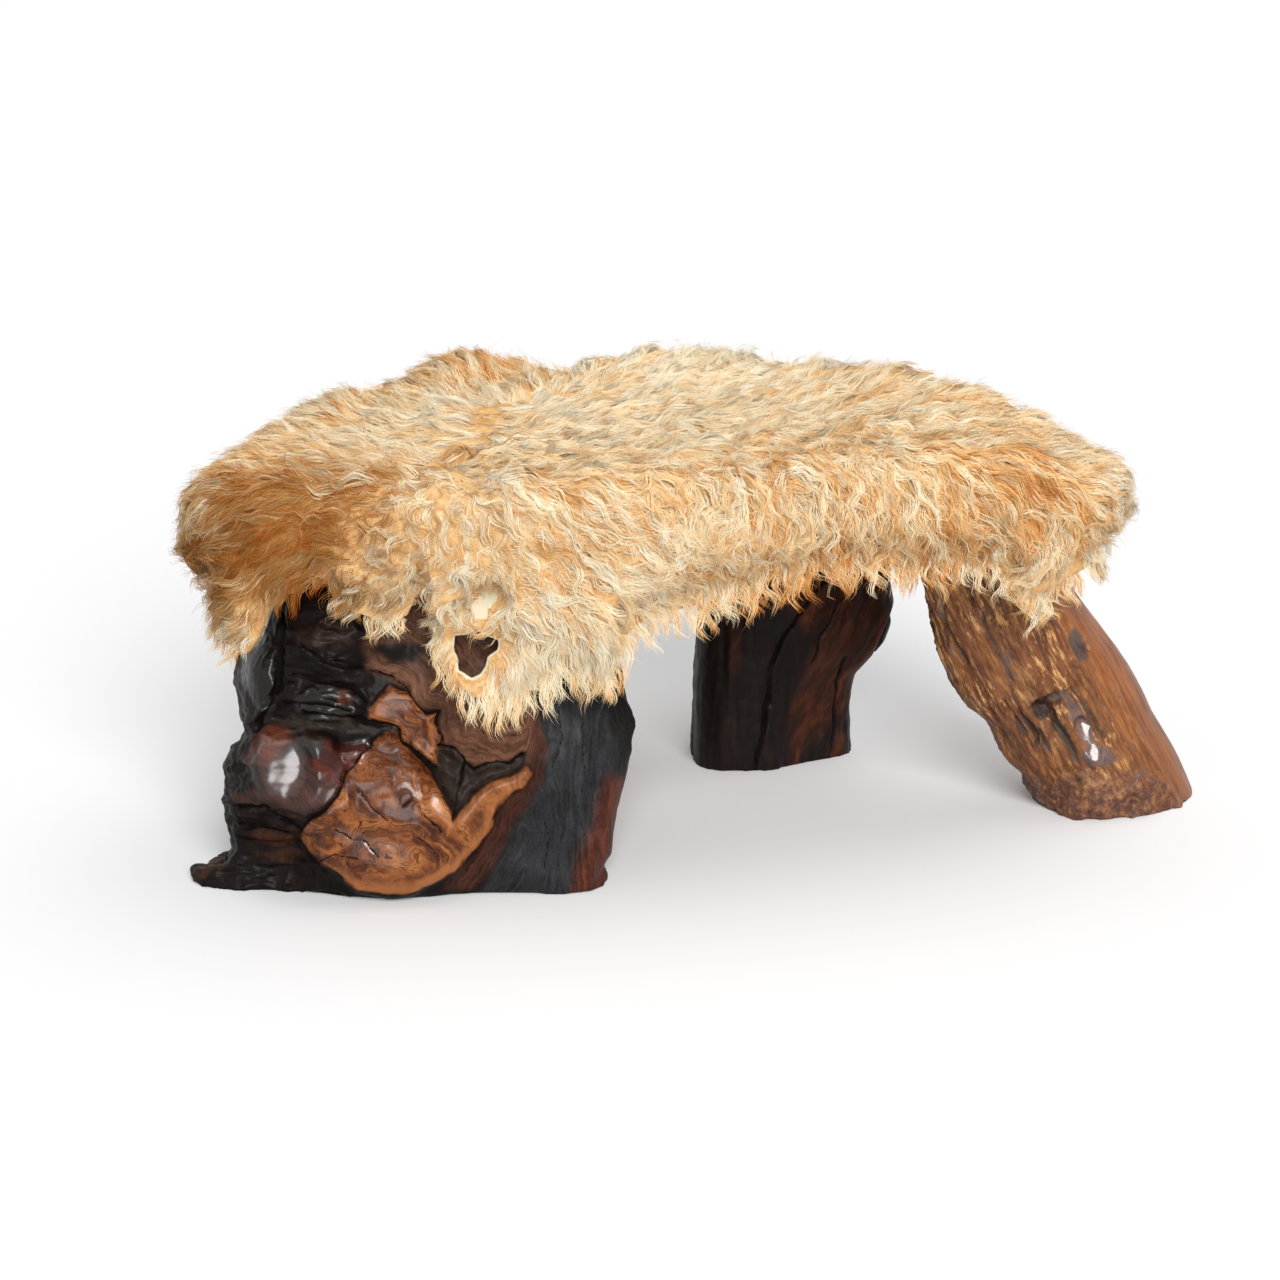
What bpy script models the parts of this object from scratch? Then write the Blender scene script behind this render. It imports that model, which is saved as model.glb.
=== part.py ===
# A low rustic stool: a live-edge seat slab on three unlike legs, under a tacked sheepskin.
# Metres, +Z up, +X along the seat, the front at -Y, the origin on the floor under the middle.

import math

import bmesh
import bpy
import numpy as np
from mathutils import Matrix, Vector

# Seat slab
SEAT_UNDERSIDE = 0.255
SLAB_THICKNESS = 0.052
SLAB_EDGE_ROUND = 0.010
EDGE_STATIONS = 68

# Slab edge, anticlockwise from the right end: x, y, and how far the fleece hangs below the slab there
SEAT_EDGE = (
    (0.345, -0.020, 0.046),
    (0.305, 0.068, 0.030),
    (0.235, 0.145, 0.040),
    (0.110, 0.190, 0.055),
    (-0.060, 0.196, 0.060),
    (-0.200, 0.172, 0.065),
    (-0.290, 0.112, 0.070),
    (-0.345, 0.022, 0.062),
    (-0.378, -0.080, 0.066),
    (-0.352, -0.150, 0.062),
    (-0.305, -0.186, 0.020),
    (-0.260, -0.194, 0.036),
    (-0.215, -0.196, 0.052),
    (-0.160, -0.192, 0.096),
    (-0.110, -0.186, 0.102),
    (-0.060, -0.176, 0.056),
    (0.060, -0.142, 0.026),
    (0.200, -0.098, 0.016),
    (0.262, -0.082, 0.034),
    (0.300, -0.070, 0.078),
)

# Sheepskin: the hide and the depth of wool that stands on it
HIDE_THICKNESS = 0.003
WOOL_DEPTH_TOP = 0.046
WOOL_DEPTH_SIDE = 0.042
WOOL_DEPTH_HEM = 0.016
HEM_FLARE = 0.006
HEM_ROUND = 0.012
FOLD_DEPTH = 0.006
FOLDS = 17
HIDE_HOLE_X = -0.165
HIDE_HOLE_DROP = 0.054
HIDE_HOLE_WIDTH = 0.036

# Wool's outline, as shares: the side depth under the slab and at the shoulder, the shoulder's rise on the
# top depth, the way out to the slab's edge of the rings on top, and the top depth at the outer of them
WOOL_UNDER_OUT = 0.92
WOOL_SHOULDER_OUT = 0.72
WOOL_SHOULDER_RISE = 0.55
WOOL_OUTER_RING = 0.93
WOOL_INNER_RING = 0.60
WOOL_OUTER_RISE = 0.93
WOOL_SIDE_LUMPS = 0.40

# Lumps in the lie of the wool on top: x, y, reach, rise
WOOL_LUMPS = (
    (0.020, 0.190, 0.075, 0.013),
    (-0.190, 0.175, 0.050, 0.014),
    (-0.090, 0.150, 0.070, -0.004),
    (-0.410, -0.050, 0.090, -0.030),
    (0.375, 0.000, 0.085, -0.030),
    (0.200, 0.020, 0.090, 0.005),
)

# Legs: place on the floor, then levels as a share of the leg's height: left, right, front and back edges
BURL_X = -0.215
BURL_Y = -0.080
BURL_LEVELS = (
    (0.00, -0.165, 0.146, -0.127, 0.128),
    (0.12, -0.153, 0.157, -0.132, 0.136),
    (0.30, -0.157, 0.167, -0.134, 0.140),
    (0.39, -0.147, 0.168, -0.131, 0.140),
    (0.50, -0.142, 0.164, -0.122, 0.139),
    (0.62, -0.149, 0.156, -0.108, 0.137),
    (0.75, -0.133, 0.147, -0.096, 0.134),
    (0.88, -0.120, 0.138, -0.087, 0.129),
    (1.00, -0.110, 0.130, -0.080, 0.124),
)
BURL_SQUARENESS = 5.0

# Burls and hollows on that block: x, y and height from its place, reach, swell
BURL_LUMPS = (
    (-0.148, -0.075, 0.000, 0.025, 0.041),
    (0.140, -0.112, 0.000, 0.034, 0.022),
    (-0.095, -0.122, 0.110, 0.025, 0.014),
    (-0.150, -0.090, 0.080, 0.026, 0.010),
    (-0.150, 0.000, 0.122, 0.030, 0.014),
    (-0.020, -0.132, 0.060, 0.050, 0.009),
    (0.010, -0.125, 0.125, 0.020, -0.014),
    (0.080, -0.130, 0.050, 0.026, -0.016),
    (-0.105, -0.120, 0.030, 0.024, -0.010),
    (-0.110, -0.110, 0.152, 0.016, -0.012),
    (0.165, -0.050, 0.095, 0.040, 0.008),
    (0.060, 0.140, 0.080, 0.045, 0.014),
    (-0.080, 0.135, 0.130, 0.045, 0.012),
    (-0.090, -0.105, 0.188, 0.026, 0.012),
)

# Relief on that block's front, pushed forward: the knob, the proud face, the dome and fold over them, the hollow at
# the foot, the brow and the hollow panel. Each is x and height from its place, half width, half height, tilt, rise
BURL_RELIEF = (
    (-0.099, 0.098, 0.048, 0.041, -10.0, 0.019),
    (-0.026, 0.053, 0.080, 0.066, 0.0, 0.012),
    (-0.076, 0.222, 0.044, 0.036, 0.0, 0.012),
    (-0.073, 0.158, 0.036, 0.020, -8.0, 0.010),
    (-0.122, 0.032, 0.052, 0.030, 0.0, -0.013),
    (0.065, 0.160, 0.050, 0.044, 0.0, 0.006),
    (0.118, 0.090, 0.040, 0.090, 4.0, -0.007),
)
BURL_FRONT_FROM = 0.044
BURL_FRONT_FULL = 0.079
BURL_STATIONS = 64
BURL_RINGS = 21

BACK_LEG_X = 0.090
BACK_LEG_Y = 0.145
BACK_LEG_LEVELS = (
    (0.00, -0.080, 0.070, -0.050, 0.056),
    (0.22, -0.078, 0.068, -0.049, 0.054),
    (0.31, -0.077, 0.074, -0.048, 0.052),
    (0.38, -0.076, 0.092, -0.047, 0.050),
    (0.50, -0.074, 0.103, -0.046, 0.048),
    (0.64, -0.072, 0.102, -0.046, 0.044),
    (1.00, -0.068, 0.096, -0.046, 0.034),
)

# Plan of the back leg: a bowed front that falls away to the right
BACK_LEG_PLAN = (
    (-0.080, -0.008),
    (-0.072, -0.040),
    (-0.020, -0.050),
    (0.030, -0.024),
    (0.070, 0.005),
    (0.066, 0.040),
    (0.020, 0.056),
    (-0.050, 0.054),
    (-0.078, 0.030),
)

RIGHT_LEG_X = 0.250
RIGHT_LEG_Y = 0.022
RIGHT_LEG_LEVELS = (
    (0.00, 0.062, 0.205, -0.050, 0.066),
    (0.10, 0.048, 0.194, -0.052, 0.066),
    (0.19, 0.028, 0.182, -0.053, 0.065),
    (0.31, 0.014, 0.163, -0.054, 0.064),
    (0.36, -0.003, 0.157, -0.054, 0.063),
    (0.48, -0.020, 0.140, -0.055, 0.062),
    (0.68, -0.037, 0.102, -0.056, 0.060),
    (0.90, -0.047, 0.064, -0.056, 0.057),
    (1.00, -0.052, 0.048, -0.056, 0.055),
)

# Plan of the right leg: a rough split front and a flat sawn side to the right
RIGHT_LEG_PLAN = (
    (0.062, -0.006),
    (0.082, -0.040),
    (0.118, -0.050),
    (0.158, -0.042),
    (0.205, 0.030),
    (0.190, 0.060),
    (0.130, 0.066),
    (0.078, 0.042),
)

LEG_STATIONS = 40
LEG_RINGS = 18

# Fixings, with their places measured from each leg's place
LAG_SHANK_DIAMETER = 0.010
LAG_LENGTH = 0.095
LAG_POINT = 0.012
LAG_HEAD_ACROSS_FLATS = 0.017
LAG_HEAD_HEIGHT = 0.006
LAG_SIDES = 12
WASHER_DIAMETER = 0.028
WASHER_THICKNESS = 0.0025
COUNTERBORE_RECESS = 0.003
DOWEL_DIAMETER = 0.016
DOWEL_LENGTH = 0.060
DOWEL_CHAMFER = 0.0015
DOWEL_SIDES = 16
TACK_COUNT = 12
TACK_HEAD_DIAMETER = 0.011
TACK_HEAD_HEIGHT = 0.003
TACK_SHANK_DIAMETER = 0.003
TACK_LENGTH = 0.020
TACK_SIDES = 8

BURL_SCREWS = ((-0.060, -0.020), (0.080, -0.025), (0.015, 0.085))
BURL_DOWEL = (0.010, 0.020)
BACK_LEG_SCREWS = ((-0.035, -0.006), (0.065, -0.004))
BACK_LEG_DOWEL = (0.015, -0.006)
RIGHT_LEG_SCREWS = ((-0.018, -0.020), (-0.006, 0.034))
RIGHT_LEG_DOWEL = (0.020, 0.000)

# Fits
FIT_GAP = 0.0003
BORE_CLEARANCE = 0.0003
COUNTERBORE_CLEARANCE = 0.002
SOCKET_END_CLEARANCE = 0.001
CUT_OVERRUN = 0.004

# Finishes: colour, roughness, metallic
FINISHES = {
    "fleece_wool": ((0.74, 0.50, 0.26), 0.90, 0.0),
    "burl_lacquer": ((0.110, 0.040, 0.018), 0.22, 0.0),
    "dark_wood": ((0.035, 0.016, 0.010), 0.45, 0.0),
    "golden_wood": ((0.180, 0.085, 0.032), 0.40, 0.0),
    "slab_wood": ((0.300, 0.170, 0.085), 0.60, 0.0),
    "dowel_wood": ((0.480, 0.330, 0.190), 0.65, 0.0),
    "zinc_steel": ((0.560, 0.570, 0.580), 0.35, 1.0),
    "tack_brass": ((0.520, 0.380, 0.160), 0.35, 1.0),
}

SLAB_TOP = SEAT_UNDERSIDE + SLAB_THICKNESS
LEG_HEIGHT = SEAT_UNDERSIDE - FIT_GAP
COUNTERBORE_DEPTH = WASHER_THICKNESS + LAG_HEAD_HEIGHT + 2 * FIT_GAP + COUNTERBORE_RECESS


def clear_scene():
    for item in list(bpy.data.objects):
        bpy.data.objects.remove(item, do_unlink=True)


def finish(name):
    material = bpy.data.materials.get(name)
    if material:
        return material
    colour, roughness, metallic = FINISHES[name]
    material = bpy.data.materials.new(name)
    material.use_nodes = True
    shader = material.node_tree.nodes["Principled BSDF"]
    shader.inputs["Base Color"].default_value = (*colour, 1.0)
    shader.inputs["Roughness"].default_value = roughness
    shader.inputs["Metallic"].default_value = metallic
    material.diffuse_color = (*colour, 1.0)
    return material


def hermite(knots, rows, at):
    """Smooth columns through rows that stand at rising knots."""
    knots = np.asarray(knots, float)
    rows = np.asarray(rows, float)
    slopes = np.gradient(rows, knots, axis=0)
    spot = np.clip(np.searchsorted(knots, at, side="right") - 1, 0, len(knots) - 2)
    span = (knots[spot + 1] - knots[spot])[:, None]
    part = (at - knots[spot])[:, None] / span
    start = (1 + 2 * part) * (1 - part) ** 2 * rows[spot]
    start += part * (1 - part) ** 2 * span * slopes[spot]
    end = part**2 * (3 - 2 * part) * rows[spot + 1]
    end += part**2 * (part - 1) * span * slopes[spot + 1]
    return start + end


def closed_curve(points, count):
    """Evenly spaced stations on a smooth closed curve through the points."""
    points = np.asarray(points, float)
    padded = np.vstack([points[-3:], points, points[:4]])
    steps = np.linalg.norm(np.diff(padded[:, :2], axis=0), axis=1)
    knots = np.concatenate([[0.0], np.cumsum(steps)])
    start, end = knots[3], knots[3 + len(points)]
    fine = hermite(knots, padded, np.linspace(start, end, 40 * count + 1))
    run = np.concatenate([[0.0], np.cumsum(np.linalg.norm(np.diff(fine[:, :2], axis=0), axis=1))])
    at = np.linspace(0.0, run[-1], count, endpoint=False)
    return np.stack([np.interp(at, run, column) for column in fine.T], axis=1)


def outward_normals(stations):
    along = np.roll(stations[:, :2], -1, axis=0) - np.roll(stations[:, :2], 1, axis=0)
    along /= np.linalg.norm(along, axis=1, keepdims=True)
    return np.stack([along[:, 1], -along[:, 0]], axis=1)


def add_rings(mesh, rings):
    """Skins a run of rings. A ring of one point closes an end, and an open end gets a flat cap."""
    loops = [[mesh.verts.new(point) for point in ring] for ring in rings]
    for lower, upper in zip(loops, loops[1:]):
        count = max(len(lower), len(upper))
        for here in range(count):
            after = (here + 1) % count
            corners = [lower[here % len(lower)], lower[after % len(lower)]]
            corners += [upper[after % len(upper)], upper[here % len(upper)]]
            mesh.faces.new(list(dict.fromkeys(corners)))
    for loop in (loops[0], loops[-1]):
        if len(loop) > 2:
            mesh.faces.new(loop)


def circle(radius, height, sides):
    if radius == 0.0:
        return [Vector((0.0, 0.0, height))]
    turns = [2 * math.pi * side / sides for side in range(sides)]
    return [Vector((radius * math.cos(turn), radius * math.sin(turn), height)) for turn in turns]


def add_lathe(mesh, profile, sides, place):
    add_rings(mesh, [[place @ point for point in circle(*step, sides)] for step in profile])


def build(name, mesh, finish_name, crease=35.0):
    bmesh.ops.recalc_face_normals(mesh, faces=mesh.faces)
    data = bpy.data.meshes.new(name)
    mesh.to_mesh(data)
    mesh.free()
    data.shade_smooth()
    data.set_sharp_from_angle(angle=math.radians(crease))
    item = bpy.data.objects.new(name, data)
    bpy.context.scene.collection.objects.link(item)
    if finish_name:
        data.materials.append(finish(finish_name))
    return item


def cut(item, cutter_mesh):
    cutter = build(item.name + "_cutter", cutter_mesh, None)
    cutter.hide_render = True
    cutter.display_type = "WIRE"
    modifier = item.modifiers.new("bores", "BOOLEAN")
    modifier.operation = "DIFFERENCE"
    modifier.solver = "EXACT"
    modifier.object = cutter
    return cutter


def down_hole(mesh, x, y, top, bottom, radius, sides):
    add_lathe(mesh, [(radius, bottom), (radius, top)], sides, Matrix.Translation((x, y, 0.0)))


def leg_fixings():
    """Places of the screws and the dowel of each leg, in the seat's frame."""
    legs = (
        ("burl", BURL_X, BURL_Y, BURL_SCREWS, BURL_DOWEL),
        ("back", BACK_LEG_X, BACK_LEG_Y, BACK_LEG_SCREWS, BACK_LEG_DOWEL),
        ("right", RIGHT_LEG_X, RIGHT_LEG_Y, RIGHT_LEG_SCREWS, RIGHT_LEG_DOWEL),
    )
    fixings = {}
    for leg, x, y, screws, dowel in legs:
        fixings[leg] = ([(x + dx, y + dy) for dx, dy in screws], (x + dowel[0], y + dowel[1]))
    return fixings


def tack_places(stations, normals):
    """Each tack's frame: its local +Z points out of the slab's edge, half way up the slab."""
    places = []
    for index in range(TACK_COUNT):
        here = index * EDGE_STATIONS // TACK_COUNT
        after = (here + 1) % EDGE_STATIONS
        middle = (stations[here, :2] + stations[after, :2]) / 2
        out = (normals[here] + normals[after]) / 2
        turn = Vector((out[0], out[1], 0.0)).to_track_quat("Z", "Y").to_matrix().to_4x4()
        spot = Vector((middle[0], middle[1], SEAT_UNDERSIDE + SLAB_THICKNESS / 2))
        places.append(Matrix.Translation(spot) @ turn)
    return places


def offset_ring(stations, normals, out, height):
    shifted = stations[:, :2] + normals * np.asarray(out).reshape(-1, 1)
    heights = np.broadcast_to(height, (len(stations),))
    return [Vector((x, y, z)) for (x, y), z in zip(shifted, heights)]


def seat_slab(stations, normals, fixings, tacks):
    profile = (
        (-SLAB_EDGE_ROUND, SEAT_UNDERSIDE),
        (0.0, SEAT_UNDERSIDE + SLAB_EDGE_ROUND),
        (0.0, SLAB_TOP - SLAB_EDGE_ROUND),
        (-SLAB_EDGE_ROUND, SLAB_TOP),
    )
    mesh = bmesh.new()
    add_rings(mesh, [offset_ring(stations, normals, out, height) for out, height in profile])
    slab = build("seat_slab", mesh, "slab_wood")
    bores = bmesh.new()
    for screws, dowel in fixings.values():
        for x, y in screws:
            hole = LAG_SHANK_DIAMETER / 2 + BORE_CLEARANCE
            bore = WASHER_DIAMETER / 2 + COUNTERBORE_CLEARANCE
            floor = SLAB_TOP - COUNTERBORE_DEPTH
            steps = [(hole, SEAT_UNDERSIDE - CUT_OVERRUN), (hole, floor), (bore, floor)]
            steps.append((bore, SLAB_TOP + CUT_OVERRUN))
            add_lathe(bores, steps, LAG_SIDES, Matrix.Translation((x, y, 0.0)))
        socket_top = SEAT_UNDERSIDE + DOWEL_LENGTH / 2 + SOCKET_END_CLEARANCE
        radius = DOWEL_DIAMETER / 2 + BORE_CLEARANCE
        down_hole(bores, *dowel, socket_top, SEAT_UNDERSIDE - CUT_OVERRUN, radius, DOWEL_SIDES)
    for place in tacks:
        radius = TACK_SHANK_DIAMETER / 2 + BORE_CLEARANCE
        depth = TACK_LENGTH - HIDE_THICKNESS - 2 * FIT_GAP + SOCKET_END_CLEARANCE
        add_lathe(bores, [(radius, -depth), (radius, CUT_OVERRUN)], TACK_SIDES, place)
    return [slab, cut(slab, bores)]


def leg_bores(leg, fixings):
    screws, dowel = fixings[leg]
    bores = bmesh.new()
    tip = SLAB_TOP - COUNTERBORE_DEPTH + FIT_GAP + WASHER_THICKNESS - LAG_LENGTH - SOCKET_END_CLEARANCE
    for x, y in screws:
        radius = LAG_SHANK_DIAMETER / 2 + BORE_CLEARANCE
        down_hole(bores, x, y, SEAT_UNDERSIDE + CUT_OVERRUN, tip, radius, LAG_SIDES)
    socket = SEAT_UNDERSIDE - DOWEL_LENGTH / 2 - SOCKET_END_CLEARANCE
    radius = DOWEL_DIAMETER / 2 + BORE_CLEARANCE
    down_hole(bores, *dowel, SEAT_UNDERSIDE + CUT_OVERRUN, socket, radius, DOWEL_SIDES)
    return bores


def leg_rings(plan, levels, count):
    """The plan, stretched at each level to that level's left, right, front and back edges."""
    low, high = plan.min(axis=0), plan.max(axis=0)
    share = (plan - low) / (high - low)
    levels = np.asarray(levels, float)
    at = np.linspace(0.0, 1.0, count)
    rings = []
    for height, (left, right, front, back) in zip(at, hermite(levels[:, 0], levels[:, 1:], at)):
        x = left + share[:, 0] * (right - left)
        y = front + share[:, 1] * (back - front)
        rings.append(np.stack([x, y, np.full(len(x), height * LEG_HEIGHT)], axis=1))
    return np.array(rings)


def leg(name, finish_name, x, y, rings, bores):
    mesh = bmesh.new()
    add_rings(mesh, [[Vector(point) + Vector((x, y, 0.0)) for point in ring] for ring in rings])
    item = build(name, mesh, finish_name, crease=50.0)
    return [item, cut(item, bores)]


def relief(rings):
    """How far the burl's front stands forward of its plain block, at each point of the rings."""
    forward = np.zeros(rings.shape[:2])
    for x, height, half_width, half_height, tilt, rise in BURL_RELIEF:
        turn = math.radians(tilt)
        across, up = rings[:, :, 0] - x, rings[:, :, 2] - height
        along = (across * math.cos(turn) + up * math.sin(turn)) / half_width
        over = (up * math.cos(turn) - across * math.sin(turn)) / half_height
        forward += rise * np.sqrt(np.clip(1.0 - along**2 - over**2, 0.0, 1.0))
    in_front = (-rings[:, :, 1] - BURL_FRONT_FROM) / (BURL_FRONT_FULL - BURL_FRONT_FROM)
    return forward * np.clip(in_front, 0.0, 1.0)


def burl_leg(fixings):
    turns = np.linspace(0.0, 2 * math.pi, 2 * BURL_STATIONS, endpoint=False)
    power = 2.0 / BURL_SQUARENESS
    plan = np.stack([np.cos(turns), np.sin(turns)], axis=1)
    plan = closed_curve(np.sign(plan) * np.abs(plan) ** power, BURL_STATIONS)
    rings = leg_rings(plan, BURL_LEVELS, BURL_RINGS)
    middle = rings.mean(axis=1, keepdims=True)
    out = rings - middle
    out /= np.linalg.norm(out, axis=2, keepdims=True)
    swell = np.zeros(rings.shape[:2])
    for *spot, reach, rise in BURL_LUMPS:
        swell += rise * np.exp(-((rings - spot) ** 2).sum(axis=2) / (2 * reach**2))
    rings += out * swell[:, :, None]
    rings[:, :, 1] -= relief(rings)
    return leg("burl_leg", "burl_lacquer", BURL_X, BURL_Y, rings, leg_bores("burl", fixings))


def back_leg(fixings):
    rings = leg_rings(closed_curve(BACK_LEG_PLAN, LEG_STATIONS), BACK_LEG_LEVELS, LEG_RINGS)
    return leg("back_leg", "dark_wood", BACK_LEG_X, BACK_LEG_Y, rings, leg_bores("back", fixings))


def right_leg(fixings):
    rings = leg_rings(closed_curve(RIGHT_LEG_PLAN, LEG_STATIONS), RIGHT_LEG_LEVELS, LEG_RINGS)
    bores = leg_bores("right", fixings)
    return leg("right_leg", "golden_wood", RIGHT_LEG_X, RIGHT_LEG_Y, rings, bores)


def lifted(points, lift, share=1.0):
    """A ring of the wool, lifted, with a share of the lumps in its lie."""
    raised = []
    for point in points:
        rise = lift
        for x, y, reach, height in WOOL_LUMPS:
            near = ((point.x - x) ** 2 + (point.y - y) ** 2) / (2 * reach**2)
            rise += share * height * math.exp(-near)
        raised.append(Vector((point.x, point.y, point.z + rise)))
    return raised


def sheepskin(stations, normals, tacks):
    middle = stations[:, :2].mean(axis=0)
    count = len(stations)
    waves = FOLD_DEPTH * np.sin(np.arange(count) * 2 * math.pi * FOLDS / count)
    drop = stations[:, 2]
    hem = SEAT_UNDERSIDE - drop
    hang = np.clip(drop / drop.max(), 0.0, 1.0)
    top = SLAB_TOP + FIT_GAP

    def inset_ring(share, height):
        spots = middle + (stations[:, :2] - middle) * share
        return [Vector((x, y, height)) for x, y in spots]

    hem_top = np.minimum(hem + HEM_ROUND, SEAT_UNDERSIDE - FIT_GAP)
    flare = FIT_GAP + (HEM_FLARE + np.abs(waves)) * hang
    inner = [[Vector((*middle, top))], inset_ring(WOOL_INNER_RING, top)]
    inner.append(offset_ring(stations, normals, -SLAB_EDGE_ROUND, top))
    inner.append(offset_ring(stations, normals, FIT_GAP, SLAB_TOP - SLAB_EDGE_ROUND))
    inner.append(offset_ring(stations, normals, FIT_GAP, SEAT_UNDERSIDE))
    inner.append(offset_ring(stations, normals, flare, hem_top))

    side = WOOL_DEPTH_SIDE + waves
    half_way = SEAT_UNDERSIDE + SLAB_THICKNESS / 2
    outer = [offset_ring(stations, normals, flare + WOOL_DEPTH_HEM / 2, hem)]
    outer.append(offset_ring(stations, normals, flare + WOOL_DEPTH_HEM, hem_top))
    outer.append(offset_ring(stations, normals, WOOL_UNDER_OUT * side, SEAT_UNDERSIDE))
    outer.append(lifted(offset_ring(stations, normals, side, half_way), 0.0, WOOL_SIDE_LUMPS))
    shoulder = offset_ring(stations, normals, WOOL_SHOULDER_OUT * side, top)
    outer.append(lifted(shoulder, WOOL_SHOULDER_RISE * WOOL_DEPTH_TOP))
    outer.append(lifted(inset_ring(WOOL_OUTER_RING, top), WOOL_OUTER_RISE * WOOL_DEPTH_TOP))
    outer.append(lifted(inset_ring(WOOL_INNER_RING, top), WOOL_DEPTH_TOP))
    outer.append(lifted([Vector((*middle, top))], WOOL_DEPTH_TOP))
    mesh = bmesh.new()
    add_rings(mesh, inner + outer)
    hide = build("sheepskin", mesh, "fleece_wool", crease=180.0)

    pockets = bmesh.new()
    shank = TACK_SHANK_DIAMETER / 2 + BORE_CLEARANCE
    head = TACK_HEAD_DIAMETER / 2 + BORE_CLEARANCE
    seat = FIT_GAP + HIDE_THICKNESS
    rim = seat + 2 * FIT_GAP + TACK_HEAD_HEIGHT
    pocket = [(shank, -CUT_OVERRUN), (shank, seat), (head, seat), (head, rim)]
    for place in tacks:
        add_lathe(pockets, pocket, TACK_SIDES, place)
    front = stations[:, 1].min() - WOOL_DEPTH_SIDE - CUT_OVERRUN
    hole_place = Matrix.Translation((HIDE_HOLE_X, front, SEAT_UNDERSIDE - HIDE_HOLE_DROP))
    through = hole_place @ Matrix.Rotation(-math.pi / 2, 4, "X")
    reach = WOOL_DEPTH_SIDE + abs(stations[:, 1].min() - BURL_Y)
    add_lathe(pockets, [(HIDE_HOLE_WIDTH / 2, 0.0), (HIDE_HOLE_WIDTH / 2, reach)], DOWEL_SIDES, through)
    return [hide, cut(hide, pockets)]


def lag_screw(name, x, y):
    seat = SLAB_TOP - COUNTERBORE_DEPTH + 2 * FIT_GAP + WASHER_THICKNESS
    radius = LAG_SHANK_DIAMETER / 2
    tip = seat - LAG_LENGTH
    mesh = bmesh.new()
    rings = [circle(0.0, tip, LAG_SIDES), circle(radius, tip + LAG_POINT, LAG_SIDES)]
    rings.append(circle(radius, seat, LAG_SIDES))
    for height in (seat, seat + LAG_HEAD_HEIGHT):
        ring = circle(LAG_HEAD_ACROSS_FLATS / math.sqrt(3), height, LAG_SIDES)
        for flat in ring[1::2]:
            flat.xy *= math.cos(math.pi / 6)
        rings.append(ring)
    add_rings(mesh, [[point + Vector((x, y, 0.0)) for point in ring] for ring in rings])
    return build(name, mesh, "zinc_steel")


def lag_washer(name, x, y):
    floor = SLAB_TOP - COUNTERBORE_DEPTH + FIT_GAP
    hole = LAG_SHANK_DIAMETER / 2 + BORE_CLEARANCE
    rim = WASHER_DIAMETER / 2
    loop = ((hole, floor), (rim, floor), (rim, floor + WASHER_THICKNESS), (hole, floor + WASHER_THICKNESS))
    mesh = bmesh.new()
    rings = []
    for radius, height in loop:
        ring = [point + Vector((x, y, 0.0)) for point in circle(radius, height, 2 * LAG_SIDES)]
        rings.append([mesh.verts.new(point) for point in ring])
    count = len(rings[0])
    for near, far in zip(rings, rings[1:] + rings[:1]):
        for here in range(count):
            after = (here + 1) % count
            mesh.faces.new((near[here], near[after], far[after], far[here]))
    return build(name, mesh, "zinc_steel")


def leg_dowel(name, x, y):
    low, high = SEAT_UNDERSIDE - DOWEL_LENGTH / 2, SEAT_UNDERSIDE + DOWEL_LENGTH / 2
    radius = DOWEL_DIAMETER / 2
    profile = [(radius - DOWEL_CHAMFER, low), (radius, low + DOWEL_CHAMFER)]
    profile += [(radius, high - DOWEL_CHAMFER), (radius - DOWEL_CHAMFER, high)]
    mesh = bmesh.new()
    add_lathe(mesh, profile, DOWEL_SIDES, Matrix.Translation((x, y, 0.0)))
    return build(name, mesh, "dowel_wood")


def hide_tack(name, place):
    shank, head = TACK_SHANK_DIAMETER / 2, TACK_HEAD_DIAMETER / 2
    seat = 2 * FIT_GAP + HIDE_THICKNESS
    point = seat - TACK_LENGTH
    profile = [(0.0, point), (shank, point + TACK_SHANK_DIAMETER), (shank, seat), (head, seat)]
    profile += [(0.7 * head, seat + 0.7 * TACK_HEAD_HEIGHT), (0.0, seat + TACK_HEAD_HEIGHT)]
    mesh = bmesh.new()
    add_lathe(mesh, profile, TACK_SIDES, place)
    return build(name, mesh, "tack_brass")


def stand_on_floor(items):
    """Parents the pieces to one empty, placed so that the box's bottom centre is at the origin."""
    graph = bpy.context.evaluated_depsgraph_get()
    points = []
    for item in items:
        if not item.hide_render:
            points += [vertex.co.copy() for vertex in item.evaluated_get(graph).data.vertices]
    points = np.array(points)
    low, high = points.min(axis=0), points.max(axis=0)
    stool = bpy.data.objects.new("stool", None)
    bpy.context.scene.collection.objects.link(stool)
    for item in items:
        item.parent = stool
    stool.location = (-(low[0] + high[0]) / 2, -(low[1] + high[1]) / 2, -low[2])


def main():
    clear_scene()
    stations = closed_curve(SEAT_EDGE, EDGE_STATIONS)
    normals = outward_normals(stations)
    fixings = leg_fixings()
    tacks = tack_places(stations, normals)
    items = seat_slab(stations, normals, fixings, tacks)
    items += burl_leg(fixings) + back_leg(fixings) + right_leg(fixings)
    items += sheepskin(stations, normals, tacks)
    for leg_name, (screws, dowel) in fixings.items():
        for index, spot in enumerate(screws, 1):
            items.append(lag_screw(f"{leg_name}_lag_screw_{index}", *spot))
            items.append(lag_washer(f"{leg_name}_lag_washer_{index}", *spot))
        items.append(leg_dowel(f"{leg_name}_dowel", *dowel))
    for index, place in enumerate(tacks, 1):
        items.append(hide_tack(f"hide_tack_{index:02d}", place))
    bpy.context.view_layer.update()
    stand_on_floor(items)


main()
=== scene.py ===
import math

import bpy
import numpy as np
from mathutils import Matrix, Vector
from mathutils.bvhtree import BVHTree


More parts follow.
